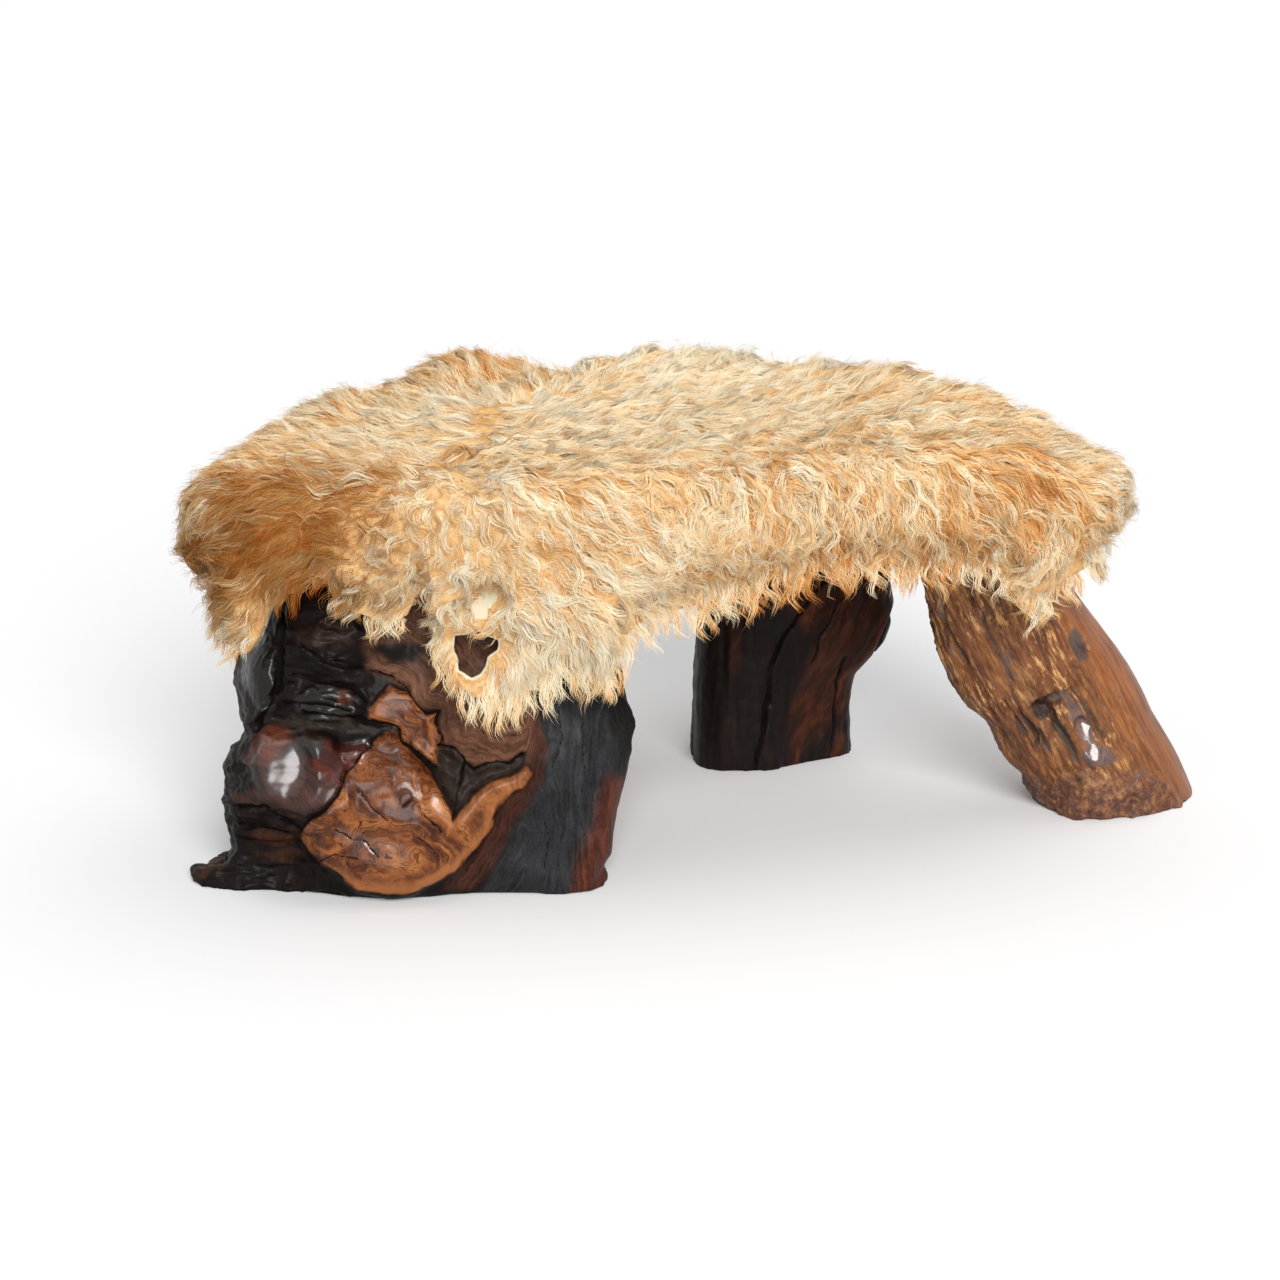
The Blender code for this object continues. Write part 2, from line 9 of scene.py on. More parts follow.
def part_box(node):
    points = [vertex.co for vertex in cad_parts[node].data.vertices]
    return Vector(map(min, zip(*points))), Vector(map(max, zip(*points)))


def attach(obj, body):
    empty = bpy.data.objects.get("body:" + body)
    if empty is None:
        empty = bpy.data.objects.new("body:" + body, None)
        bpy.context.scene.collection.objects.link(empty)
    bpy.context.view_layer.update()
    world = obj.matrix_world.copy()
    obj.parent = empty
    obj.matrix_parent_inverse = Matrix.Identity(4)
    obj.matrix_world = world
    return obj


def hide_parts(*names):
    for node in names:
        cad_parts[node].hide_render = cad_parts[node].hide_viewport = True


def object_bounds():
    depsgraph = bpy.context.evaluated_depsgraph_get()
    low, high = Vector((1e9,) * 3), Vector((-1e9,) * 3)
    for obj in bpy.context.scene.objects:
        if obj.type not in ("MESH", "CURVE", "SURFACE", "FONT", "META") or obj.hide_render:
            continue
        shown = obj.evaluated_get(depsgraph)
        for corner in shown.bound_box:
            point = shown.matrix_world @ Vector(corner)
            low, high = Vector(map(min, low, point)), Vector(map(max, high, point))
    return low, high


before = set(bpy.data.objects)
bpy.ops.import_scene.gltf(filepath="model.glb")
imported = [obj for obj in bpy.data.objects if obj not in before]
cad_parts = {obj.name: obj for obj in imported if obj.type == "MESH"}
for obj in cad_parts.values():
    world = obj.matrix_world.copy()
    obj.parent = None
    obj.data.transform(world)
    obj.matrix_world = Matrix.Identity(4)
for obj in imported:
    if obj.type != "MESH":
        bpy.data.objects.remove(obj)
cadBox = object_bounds()
scene = bpy.context.scene
mm = 0.001


# shader expressions

class Wire:  # a socket that can stand in a Python expression
    def __init__(self, paint, socket):
        self.paint = paint
        self.socket = socket

    def maths(self, operation, *values):
        return self.paint.node("Math", {"operation": operation}, dict(enumerate(values)))

    def __add__(self, other):
        return self.maths("ADD", self, other)

    def __sub__(self, other):
        return self.maths("SUBTRACT", self, other)

    def __rsub__(self, other):
        return self.maths("SUBTRACT", other, self)

    def __mul__(self, other):
        return self.maths("MULTIPLY", self, other)

    def __truediv__(self, other):
        return self.maths("DIVIDE", self, other)

    def __pow__(self, other):
        return self.maths("POWER", self, other)

    __radd__ = __add__
    __rmul__ = __mul__

    def folded(self):  # up and down between 0 and 1, as the rings of a cut log
        return self.maths("PINGPONG", self, 1.0)

    def rise(self, low, high):  # 0 below low, 1 above high, smooth between
        limits = {"Value": self, "From Min": low, "From Max": high}
        return self.paint.node("MapRange", {"interpolation_type": "SMOOTHSTEP"}, limits)


class Paint:  # the nodes of one material, or of the world
    def __init__(self, name, kept=bpy.data.materials):
        self.owner = kept.new(name)
        self.owner.use_nodes = True
        self.tree = self.owner.node_tree
        self.tree.nodes.clear()

    def node(self, kind, settings=None, sockets=None, out=0):
        made = self.tree.nodes.new("ShaderNode" + kind)
        for key, value in (settings or {}).items():
            if key == "stops":
                while len(made.color_ramp.elements) < len(value):
                    made.color_ramp.elements.new(1.0)
                for stop, (place, colour) in zip(made.color_ramp.elements, value):
                    stop.position, stop.color = place, colour
            else:
                setattr(made, key, value)
        for key, value in (sockets or {}).items():
            if isinstance(value, Wire):
                self.tree.links.new(value.socket, made.inputs[key])
            else:
                made.inputs[key].default_value = value
        return Wire(self, made.outputs[out]) if len(made.outputs) else None

    def mix(self, share, first, second, blend="MIX"):
        settings = {"data_type": "RGBA", "blend_type": blend}
        return self.node("Mix", settings, {0: share, 6: first, 7: second}, out=2)

    def place(self):
        return self.node("TexCoord", out="Object")

    def mark(self, name):  # a value kept on the mesh's points
        return self.node("Attribute", {"attribute_name": name}, out="Fac")

    def noise(self, place, scale, detail=3.0, rough=0.5, twist=0.0, out="Fac"):
        sockets = {"Vector": place, "Scale": scale, "Detail": detail, "Roughness": rough, "Distortion": twist}
        return self.node("TexNoise", None, sockets, out=out)

    def vector(self, operation, first, second):
        return self.node("VectorMath", {"operation": operation}, {0: first, 1: second})

    def warped(self, place, scale, reach):  # the place, pushed about by a noise
        push = self.vector("SUBTRACT", self.noise(place, scale, out="Color"), (0.5, 0.5, 0.5))
        return self.vector("ADD", place, self.vector("MULTIPLY", push, (reach, reach, reach)))

    def ramp(self, value, *stops):
        return self.node("ValToRGB", {"stops": stops}, {"Fac": value})

    def inView(self):  # 1 on rays from the camera, also by way of a mirror or glass
        rays = [self.node("LightPath", out=f"Is {kind} Ray") for kind in ("Camera", "Glossy", "Transmission")]
        return rays[0].maths("MAXIMUM", rays[0], rays[1].maths("MAXIMUM", rays[1], rays[2]))

    def bump(self, height, strength, distance):
        return self.node("Bump", None, {"Height": height, "Strength": strength, "Distance": distance})

    def surface(self, **sockets):
        named = {key.replace("_", " "): value for key, value in sockets.items()}
        self.node("OutputMaterial", None, {"Surface": self.node("BsdfPrincipled", None, named)})
        return self.owner


def tone(red, green, blue):  # a colour as a screen shows it, 0 to 255
    parts = [part / 255.0 for part in (red, green, blue)]
    return (*[part / 12.92 if part < 0.04045 else ((part + 0.055) / 1.055) ** 2.4 for part in parts], 1.0)


# mesh helpers

def ease(values, low, high):
    share = np.clip((values - low) / (high - low), 0.0, 1.0)
    return share * share * (3.0 - 2.0 * share)


def unit(rows):
    return rows / np.maximum(np.linalg.norm(rows, axis=-1, keepdims=True), 1e-9)


def lattice(points, cell, seed):  # smooth value noise, -1 to 1; a cell may have a size for each axis
    scaled = points / np.asarray(cell)
    corner = np.floor(scaled).astype(np.int64)
    part = scaled - corner
    part = part * part * (3.0 - 2.0 * part)
    total = np.zeros(len(points))
    for step in np.ndindex(2, 2, 2):
        at = corner + step
        mixed = at[:, 0] * 374761393 + at[:, 1] * 668265263 + at[:, 2] * 1440662683 + seed * 974634777
        mixed = (mixed ^ (mixed >> 13)) * 1274126177
        value = ((mixed ^ (mixed >> 16)) & 0xFFFF) / 32767.5 - 1.0
        total += value * np.prod(np.where(step, part, 1.0 - part), axis=1)
    return total


def fractal(points, cell, seed, octaves=3):
    sizes = [np.asarray(cell) / 2.0**octave for octave in range(octaves)]
    return sum(lattice(points, size, seed + octave) / 2.0**octave for octave, size in enumerate(sizes))


def gapTo(spots, route):  # distance in a plane from each spot to the line through a route's points
    best = np.full(len(spots), np.inf)
    for start, end in zip(route, route[1:]):
        start, run = np.asarray(start), np.subtract(end, start)
        share = np.clip((spots - start) @ run / (run @ run), 0.0, 1.0)
        best = np.minimum(best, np.linalg.norm(spots - start - share[:, None] * run, axis=1))
    return best


def insideBy(spots, outline):  # the same to a closed outline, positive inside it
    ring = [*outline, outline[0]]
    inside = np.zeros(len(spots), bool)
    for (x, z), (nextX, nextZ) in zip(ring, ring[1:]):
        if z != nextZ:
            crosses = (z > spots[:, 1]) != (nextZ > spots[:, 1])
            inside ^= crosses & (spots[:, 0] < x + (spots[:, 1] - z) * (nextX - x) / (nextZ - z))
    return np.where(inside, 1.0, -1.0) * gapTo(spots, ring)


def ovalAt(spots, x, z, halfWidth, halfHeight, tilt=0.0):  # 1 in the middle of an oval, 0 from its rim out
    turn = math.radians(tilt)
    across = (spots[:, 0] - x) * math.cos(turn) + (spots[:, 1] - z) * math.sin(turn)
    up = (spots[:, 1] - z) * math.cos(turn) - (spots[:, 0] - x) * math.sin(turn)
    return np.clip(1.0 - (across / halfWidth) ** 2 - (up / halfHeight) ** 2, 0.0, 1.0)


def rowsOf(collection, key):
    flat = np.empty(len(collection) * 3, np.float32)
    collection.foreach_get(key, flat)
    return flat.reshape(-1, 3).astype(float)


def meshPiece(name, points, faces, material):  # faces: one array for each number of corners
    data = bpy.data.meshes.new(name)
    corners = np.concatenate([part.ravel() for part in faces]).astype(np.int32)
    sizes = np.concatenate([np.full(len(part), part.shape[1]) for part in faces])
    data.vertices.add(len(points))
    data.vertices.foreach_set("co", np.asarray(points, np.float32).ravel())
    data.loops.add(len(corners))
    data.loops.foreach_set("vertex_index", corners)
    data.polygons.add(len(sizes))
    data.polygons.foreach_set("loop_start", np.concatenate([[0], np.cumsum(sizes)[:-1]]).astype(np.int32))
    data.update(calc_edges=True)
    data.shade_smooth()
    data.materials.append(material)
    piece = bpy.data.objects.new(name, data)
    scene.collection.objects.link(piece)
    return piece


def settle(piece):  # applies the piece's modifiers
    made = bpy.data.meshes.new_from_object(piece.evaluated_get(bpy.context.evaluated_depsgraph_get()))
    piece.modifiers.clear()
    piece.data = made


def evenOut(piece, voxel, rounds):  # small even faces all over, with the edges softened
    remesh = piece.modifiers.new("evenFaces", "REMESH")
    remesh.mode, remesh.voxel_size, remesh.use_smooth_shade = "VOXEL", voxel, True
    smooth = piece.modifiers.new("softEdges", "SMOOTH")
    smooth.factor, smooth.iterations = 0.5, rounds
    settle(piece)


def blankLeg(name, node, voxel, rounds):
    piece = bpy.data.objects.new(name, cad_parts[node].data.copy())
    scene.collection.objects.link(piece)
    evenOut(piece, voxel, rounds)
    return piece


def swell(piece, rise, top):  # moves points out along their normals; the sole and the seat end stay flat
    points, normals = rowsOf(piece.data.vertices, "co"), rowsOf(piece.data.vertex_normals, "vector")
    hold = ease(normals[:, 2], -0.85, -0.5) * (1.0 - ease(points[:, 2], top - 6 * mm, top - mm))
    points += normals * (rise * hold)[:, None]
    points[:, 2] = np.clip(points[:, 2], 0.0, top)
    piece.data.vertices.foreach_set("co", points.astype(np.float32).ravel())
    piece.data.update()


def flatten(piece, spots, share, middle, facing):  # a flat place, turned to show the key lamp's light
    points = rowsOf(piece.data.vertices, "co")
    flat = (spots - middle) @ np.array(facing) * mm
    points[:, 1] += share * (np.average(points[:, 1] - flat, weights=share) + flat - points[:, 1])
    piece.data.vertices.foreach_set("co", points.astype(np.float32).ravel())
    piece.data.update()


def keepMark(piece, name, values):
    mark = piece.data.attributes.new(name, "FLOAT", "POINT")
    mark.data.foreach_set("value", np.asarray(values, np.float32))


def dressed(piece, node, material):
    piece.data.materials.clear()
    piece.data.materials.append(material)
    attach(piece, "root")
    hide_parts(node)


# studio

studio = {
    "aim": (-0.050, -0.0695, 0.174),
    "elevation": 17.0,
    "distance": 2.75,
    "focalPixels": 3279.0,
    "framePixels": 1280.0,
    "filmWidth": 36.0,
    "floorHalf": 9.0,
    "floorColour": tone(232, 232, 233),
    "floorGlow": 0.12,
    "skyLight": 0.23,
    # name, where it shines from, how wide it looks in degrees, strength
    "lamps": (
        ("keyLamp", (0.20, -1.0, 0.62), 34.0, 3.08),
        ("topLamp", (0.10, 0.20, 1.0), 60.0, 1.17),
    ),
}


def pointAt(item, target):
    item.rotation_mode = "QUATERNION"
    item.rotation_quaternion = (Vector(target) - item.location).to_track_quat("-Z", "Y")


def eyePlace():
    rise = math.radians(studio["elevation"])
    return Vector(studio["aim"]) + Vector((0.0, -math.cos(rise), math.sin(rise))) * studio["distance"]


def studioSet():
    data = bpy.data.cameras.new("camera")
    data.sensor_width = studio["filmWidth"]
    data.lens = studio["filmWidth"] * studio["focalPixels"] / studio["framePixels"]
    camera = bpy.data.objects.new("camera", data)
    scene.collection.objects.link(camera)
    camera.location = eyePlace()
    pointAt(camera, studio["aim"])
    scene.camera = camera

    for name, place, width, strength in studio["lamps"]:
        lamp = bpy.data.lights.new(name, "SUN")
        lamp.angle, lamp.energy = math.radians(width), strength
        item = bpy.data.objects.new(name, lamp)
        item.location = place
        pointAt(item, (0.0, 0.0, 0.0))
        scene.collection.objects.link(item)

    sky = Paint("studioSky", bpy.data.worlds)
    level = studio["skyLight"] + sky.inView() * (1.0 - studio["skyLight"])
    white = sky.node("Background", None, {"Color": (1.0, 1.0, 1.0, 1.0), "Strength": level})
    sky.node("OutputWorld", None, {"Surface": white})
    scene.world = sky.owner

    paint = Paint("paleFloor")
    glow = paint.node("Emission", None, {"Strength": paint.inView() * studio["floorGlow"]})
    matt = paint.node("BsdfDiffuse", None, {"Color": studio["floorColour"]})
    paint.node("OutputMaterial", None, {"Surface": paint.node("AddShader", None, {0: matt, 1: glow})})
    half = studio["floorHalf"]
    corners = [(-half, -half, 0.0), (half, -half, 0.0), (half, half, 0.0), (-half, half, 0.0)]
    meshPiece("floor", corners, [np.array([[0, 1, 2, 3]])], paint.owner)
    scene.view_settings.view_transform = "Standard"
    print("studio: camera, floor and", len(studio["lamps"]), "lamps")


studioSet()


# burl leg: outlines and routes are x and height in millimetres, on an upright plane through its front

burl = {
    "voxel": 1.35 * mm,
    "frontFrom": 0.105,
    "frontFull": 0.145,
    "plane": -0.188,
    # the proud figured face with its arm, the tongue over it, the brow and the dark wedge between them
    "face": ((-270, 122), (-256, 133), (-246, 132), (-234, 116), (-220, 98), (-213, 85), (-201, 56), (-185, 78),
             (-170, 90), (-154, 95), (-142, 104), (-137, 97), (-144, 85), (-156, 79), (-166, 69), (-172, 50),
             (-185, 31), (-201, 12), (-220, 1), (-234, -6), (-256, -9), (-282, -5), (-294, 7), (-310, 20), (-322, 32),
             (-327, 45), (-322, 57), (-308, 65), (-296, 78), (-291, 95), (-282, 108)),
    "faceRise": 5 * mm,
    "tongue": ((-268, 153), (-258, 166), (-252, 172), (-234, 166), (-229, 153), (-223, 149), (-213, 151), (-215, 141),
               (-212, 128), (-214, 105), (-223, 108), (-232, 118), (-239, 126), (-246, 135), (-258, 140), (-269, 143)),
    "tongueRise": 4 * mm,
    "tongueEdge": ((-252, 174), (-234, 166), (-229, 153), (-213, 151), (-215, 141), (-212, 128), (-214, 105)),
    "wedge": ((-213, 120), (-201, 118), (-193, 108), (-185, 100), (-174, 105), (-164, 106), (-156, 104), (-145, 113),
              (-142, 103), (-154, 95), (-170, 90), (-185, 78), (-201, 56), (-213, 85), (-215, 103)),
    "wedgeDepth": 5 * mm,
    # the grain outside the face runs beside this line, round the tip of the arm
    "grainLine": ((-290, 200), (-266, 186), (-238, 172), (-228, 154), (-213, 150), (-212, 120), (-193, 108),
                  (-185, 100), (-164, 106), (-145, 113), (-139, 100), (-156, 79), (-166, 69), (-172, 50), (-185, 31),
                  (-201, 12), (-208, 0)),
    "swirl": (-250, 24),
    # x, height, half width, half height, tilt, rise: swells and hollows on the frame's own
    "lumps": (
        (-256, 46, 66, 62, 0, 6),
        (-262, 28, 30, 16, -8, 3),
        (-236, 92, 14, 24, 24, 3),
        (-310, 118, 20, 20, 0, 8),
        (-400, 38, 22, 22, 30, -16),
        (-278, 114, 13, 10, 0, 5),
        (-302, 152, 30, 10, -5, 5),
        (-290, 184, 28, 12, -14, 5),
        (-312, 208, 22, 16, 20, 4),
        (-262, 208, 28, 18, 0, 4),
        (-356, 190, 14, 46, 8, 5),
        (-340, 56, 22, 10, -6, -7),
        (-356, 45, 30, 7, -6, 4),
        (-350, 26, 40, 9, 0, 4),
        (-180, 132, 44, 22, 4, 4),
        (-66, 60, 18, 80, -6, -6),
        (-78, 8, 14, 22, 0, -6),
        (-376, 131, 15, 12, 0, -11),
        (-404, 25, 14, 9, 20, -10),
    ),
    "knob": (-327, 98, 40, 38, -10),
    "dome": (-362, 186, 20, 48, 8),
    "facet": (-340, 104, 29, 41, 14),
    "facetFacing": (0.20, 0.37),
    # half width, depth, then the route
    "cracks": (
        (1.0, 3, (-266, 186), (-250, 180), (-238, 172), (-234, 165), (-228, 154), (-222, 149), (-213, 151),
         (-215, 141), (-211, 128), (-213, 120)),
        (1.2, 4, (-272, 142), (-258, 140), (-247, 136), (-239, 125), (-232, 118), (-223, 108), (-214, 104)),
        (1.4, 5, (-213, 121), (-201, 118), (-193, 108), (-185, 100), (-174, 105), (-164, 106), (-156, 104),
         (-145, 113)),
        (0.9, 3, (-193, 112), (-195, 95), (-198, 75), (-201, 57)),
        (0.8, 2, (-242, 68), (-234, 75), (-225, 60), (-211, 45)),
        (0.7, 1, (-280, 83), (-270, 69), (-256, 56)),
        (0.8, 2, (-299, 47), (-287, 42), (-274, 37), (-265, 25)),
        (0.7, 1, (-315, 20), (-299, 27), (-280, 23)),
        (0.7, 1, (-232, 42), (-220, 32), (-213, 20)),
        (1.5, 5, (-270, 122), (-282, 108), (-291, 95), (-296, 78), (-308, 65), (-322, 57), (-328, 46)),
        (1.4, 4, (-322, 149), (-300, 145), (-285, 144), (-270, 142)),
        (1.0, 3, (-330, 157), (-304, 158), (-282, 151)),
        (1.7, 5, (-378, 68), (-356, 68), (-338, 58), (-328, 50)),
        (1.0, 3, (-372, 48), (-350, 50), (-336, 46)),
        (2.2, 6, (-336, 240), (-340, 200), (-343, 172), (-352, 150), (-362, 136)),
        (1.1, 3, (-322, 206), (-300, 190), (-285, 186), (-272, 190)),
        (1.1, 3, (-330, 182), (-305, 176), (-280, 170), (-270, 158)),
        (0.5, 1, (-116, 150), (-112, 128), (-121, 104), (-118, 84)),
        (0.5, 1, (-98, 122), (-93, 94), (-100, 66), (-95, 42)),
        (0.5, 1, (-131, 62), (-124, 40), (-129, 14)),
    ),
    "ridge": ((-330, 168), (-347, 152), (-364, 136), (-381, 100)),
    "ridgeRise": 6 * mm,
    "charColour": (24, 17, 14),
    # colour, softness of its edge, then the outline; a later one lies over the ones before
    "stains": (
        ((56, 57, 60), 8, (-134, 170), (-130, 92), (-154, 56), (-170, 12), (-186, -20), (-60, -20), (-66, 100), (-80, 190)),
        ((120, 82, 62), 5, (-270, 206), (-266, 186), (-238, 172), (-228, 154), (-213, 151), (-213, 120), (-201, 118),
         (-193, 108), (-185, 100), (-164, 106), (-145, 113), (-140, 103), (-132, 108), (-129, 125), (-134, 150),
         (-146, 180), (-158, 215), (-160, 244), (-264, 244)),
        ((82, 48, 37), 5, (-142, 104), (-138, 97), (-144, 85), (-156, 79), (-166, 69), (-172, 50), (-185, 31), (-201, 12),
         (-212, -4), (-187, -4), (-172, 14), (-165, 38), (-154, 56), (-139, 69), (-130, 92), (-127, 116), (-133, 140)),
        ((54, 43, 37), 2, (-213, 120), (-201, 118), (-193, 108), (-185, 100), (-164, 106), (-145, 113), (-142, 103),
         (-154, 95), (-170, 90), (-185, 78), (-201, 56), (-213, 85), (-215, 103)),
        ((104, 56, 42), 8, (-108, -8), (-98, 24), (-91, 45), (-82, 72), (-79, 90), (-68, 95), (-54, 80), (-58, 55),
         (-70, 24), (-78, -8)),
    ),
    # colour, then x, height, half width, half height, tilt
    "spots": (
        ((82, 50, 42), -327, 95, 44, 42, -10),
        ((112, 58, 40), -350, 121, 28, 14, 42),
        ((98, 34, 21), -300, 106, 20, 20, 0),
        # painted reflection: this dark grey spot in the knob's dent stands for a dark reflection
        ((52, 48, 43), -319, 118, 24, 12, 8),
        ((112, 62, 52), -278, 115, 15, 12, 0),
        ((62, 55, 48), -310, 139, 50, 9, -2),
        ((96, 56, 36), -286, 160, 9, 10, 20),
        ((30, 24, 21), -243, 199, 24, 9, 0),
        ((78, 46, 31), -348, 44, 24, 9, -10),
        ((70, 44, 33), -366, 73, 18, 9, -20),
        ((62, 39, 27), -343, 29, 28, 6, 0),
        ((74, 50, 37), -400, 14, 16, 9, 30),
        ((50, 36, 29), -300, 214, 32, 16, 0),
    ),
    # places that are rubbed to a high gloss, with their share
    "shiny": (
        (-328, 100, 43, 40, -10, 0.30), (-341, 104, 21, 33, 12, 0.75), (-278, 115, 13, 10, 0, 0.9), (-262, 30, 28, 14, -10, 0.7),
        (-284, 42, 20, 6, -20, 0.7), (-212, 66, 5, 20, 24, 0.6), (-358, 188, 16, 44, 8, 0.30),
        (-302, 158, 30, 14, 0, 0.3), (-240, 96, 12, 24, 24, 0.35),
    ),
}


def burlMaterial():
    paint = Paint("burlLacquer")
    place = paint.place()
    figure, gloss, plain = paint.mark("figure"), paint.mark("gloss"), paint.mark("plainRim")
    stain = paint.node("Attribute", {"attribute_name": "stain"}, out="Color")
    # painted shade: the cracks and splits are coloured near black for the shade deep in them, as the mesh is too
    # coarse to hold it
    crack = 1.0 - paint.mark("crackGap").rise(0.5, 1.1)

    flow = paint.node("CombineXYZ", None, {"X": paint.mark("flow") * 0.15})
    layered = paint.vector("ADD", flow, paint.vector("MULTIPLY", place, (24.0, 24.0, 24.0)))
    strata = paint.noise(layered, 1.0, 5.0, 0.62)
    wave = paint.noise(layered, 1.5, 2.0, 0.5, 0.4) - 0.5
    vein = (1.0 - wave.maths("ABSOLUTE", wave).rise(0.004, 0.022)) * paint.noise(place, 55.0, 2.0).rise(0.36, 0.54)
    ripple = paint.noise(layered, 1.9, 2.0, 0.5, 0.9) - 0.52
    hair = (1.0 - ripple.maths("ABSOLUTE", ripple).rise(0.012, 0.055)) * paint.noise(place, 30.0, 2.0).rise(0.36, 0.52)
    cloud = paint.noise(paint.warped(place, 30.0, 0.02), 50.0, 4.0, 0.6)
    fleck = paint.noise(place, 420.0, 3.0, 0.6)
    figured = paint.ramp(strata * 0.85 + cloud * 0.55 + fleck * 0.12 - 0.26,
                         (0.28, tone(46, 21, 11)), (0.41, tone(88, 46, 24)), (0.51, tone(126, 72, 37)),
                         (0.61, tone(156, 95, 50)), (0.76, tone(188, 126, 74)))
    purple = paint.noise(place, 31.0, 2.0, 0.5).rise(0.50, 0.66)
    figured = paint.mix(purple * 0.35, figured, tone(84, 50, 40))
    figured = paint.mix(hair * 0.65, figured, tone(62, 29, 15))
    figured = paint.mix(vein * 0.85, figured, tone(36, 16, 10))
    figured = paint.mix(plain * 0.7, figured, tone(172, 108, 62))

    shade = strata * 0.75 + cloud * 0.40 + fleck * 0.25 - 0.20
    wood = paint.ramp(shade, (0.32, tone(120, 110, 106)), (0.50, tone(200, 196, 194)), (0.66, tone(255, 255, 255)))
    wood = paint.mix(1.0, stain, wood, "MULTIPLY")
    wood = paint.mix(vein * 0.35 + hair * 0.25, wood, tone(20, 13, 10))

    colour = paint.mix(figure, wood, figured)
    colour = paint.mix(crack, colour, tone(10, 7, 5))
    rough = 0.52 - figure * 0.10 - gloss * 0.24 + (fleck - 0.5) * 0.3 + crack * 0.3
    height = strata * 0.8 - (vein + hair) * 0.2 + fleck * (0.5 - gloss * 0.4) + cloud * 0.4
    return paint.surface(Base_Color=colour, Roughness=rough, Normal=paint.bump(height, 0.5, 0.7 * mm),
                         Coat_Weight=(0.03 + figure * 0.09 + gloss * 0.88) * (1.0 - crack), Coat_Roughness=0.20,
                         Coat_IOR=1.70, Specular_IOR_Level=0.07)


def onBurlFront(points, cell, reach, seed):  # the share that belongs to the front, and the wandering place there
    wander = np.stack([fractal(points, cell, seed), fractal(points, cell, seed + 6)], axis=1)
    eye = np.array(eyePlace())
    scale = (burl["plane"] - eye[1]) / (points[:, 1:2] - eye[1])
    spots = (eye + (points - eye) * scale)[:, [0, 2]] / mm
    return ease(-points[:, 1], burl["frontFrom"], burl["frontFull"]), spots + reach * wander


def grainFlow(spots, points, inFace, inTongue):  # a length that climbs across the wood's lines
    x, z = burl["swirl"]
    rings = 0.7 * np.hypot((spots[:, 0] - x) / 1.25, spots[:, 1] - z)
    waves = 0.45 * spots[:, 1] + 17.0 * lattice(points, (0.013, 0.05, 0.09), 79)
    low = 1.0 - ease(spots[:, 1] + 10.0 * fractal(points, 0.03, 83), 48.0, 80.0)
    flow = rings * low + waves * (1.0 - low)
    flow = np.where(inTongue > inFace, gapTo(spots, burl["tongueEdge"]), flow)
    flow += 12.0 * fractal(points, 0.032, 81, 2) + 4.5 * fractal(points, 0.012, 87, 2)
    outside = 1.5 * gapTo(spots, burl["grainLine"])
    upright = ease(spots[:, 0] + 12.0 * fractal(points, 0.05, 95), -150.0, -118.0)
    outside = outside * (1.0 - upright) + 1.7 * spots[:, 0] * upright
    outside += 9.0 * fractal(points, (0.03, 0.03, 0.06), 93, 4)
    return np.where(np.maximum(inFace, inTongue) > 0.0, flow, outside)


def burlStain(spots, points, front):  # the colour of the wood outside the figured face
    drift = spots + 4.0 * np.stack([fractal(points, 0.02, 91), fractal(points, 0.02, 97)], axis=1)
    colour = np.tile(tone(*burl["charColour"])[:3], (len(points), 1))
    for shade, soft, *outline in burl["stains"]:
        share = ease(insideBy(drift, outline), -soft, soft)[:, None]
        colour += share * (np.array(tone(*shade)[:3]) - colour)
    for shade, *oval in burl["spots"]:
        share = ease(ovalAt(drift, *oval), 0.0, 0.85)[:, None]
        colour += share * (np.array(tone(*shade)[:3]) - colour)
    clouds = fractal(points, 0.085, 71)
    away = np.tile(tone(*burl["charColour"])[:3], (len(points), 1))
    for shade, low, high in (((86, 50, 36), -0.25, 0.30), ((124, 74, 44), 0.35, 0.75)):
        away += ease(clouds, low, high)[:, None] * (np.array(tone(*shade)[:3]) - away)
    colour += (1.0 - front)[:, None] * (away - colour)
    return np.column_stack([colour, np.ones(len(points))])


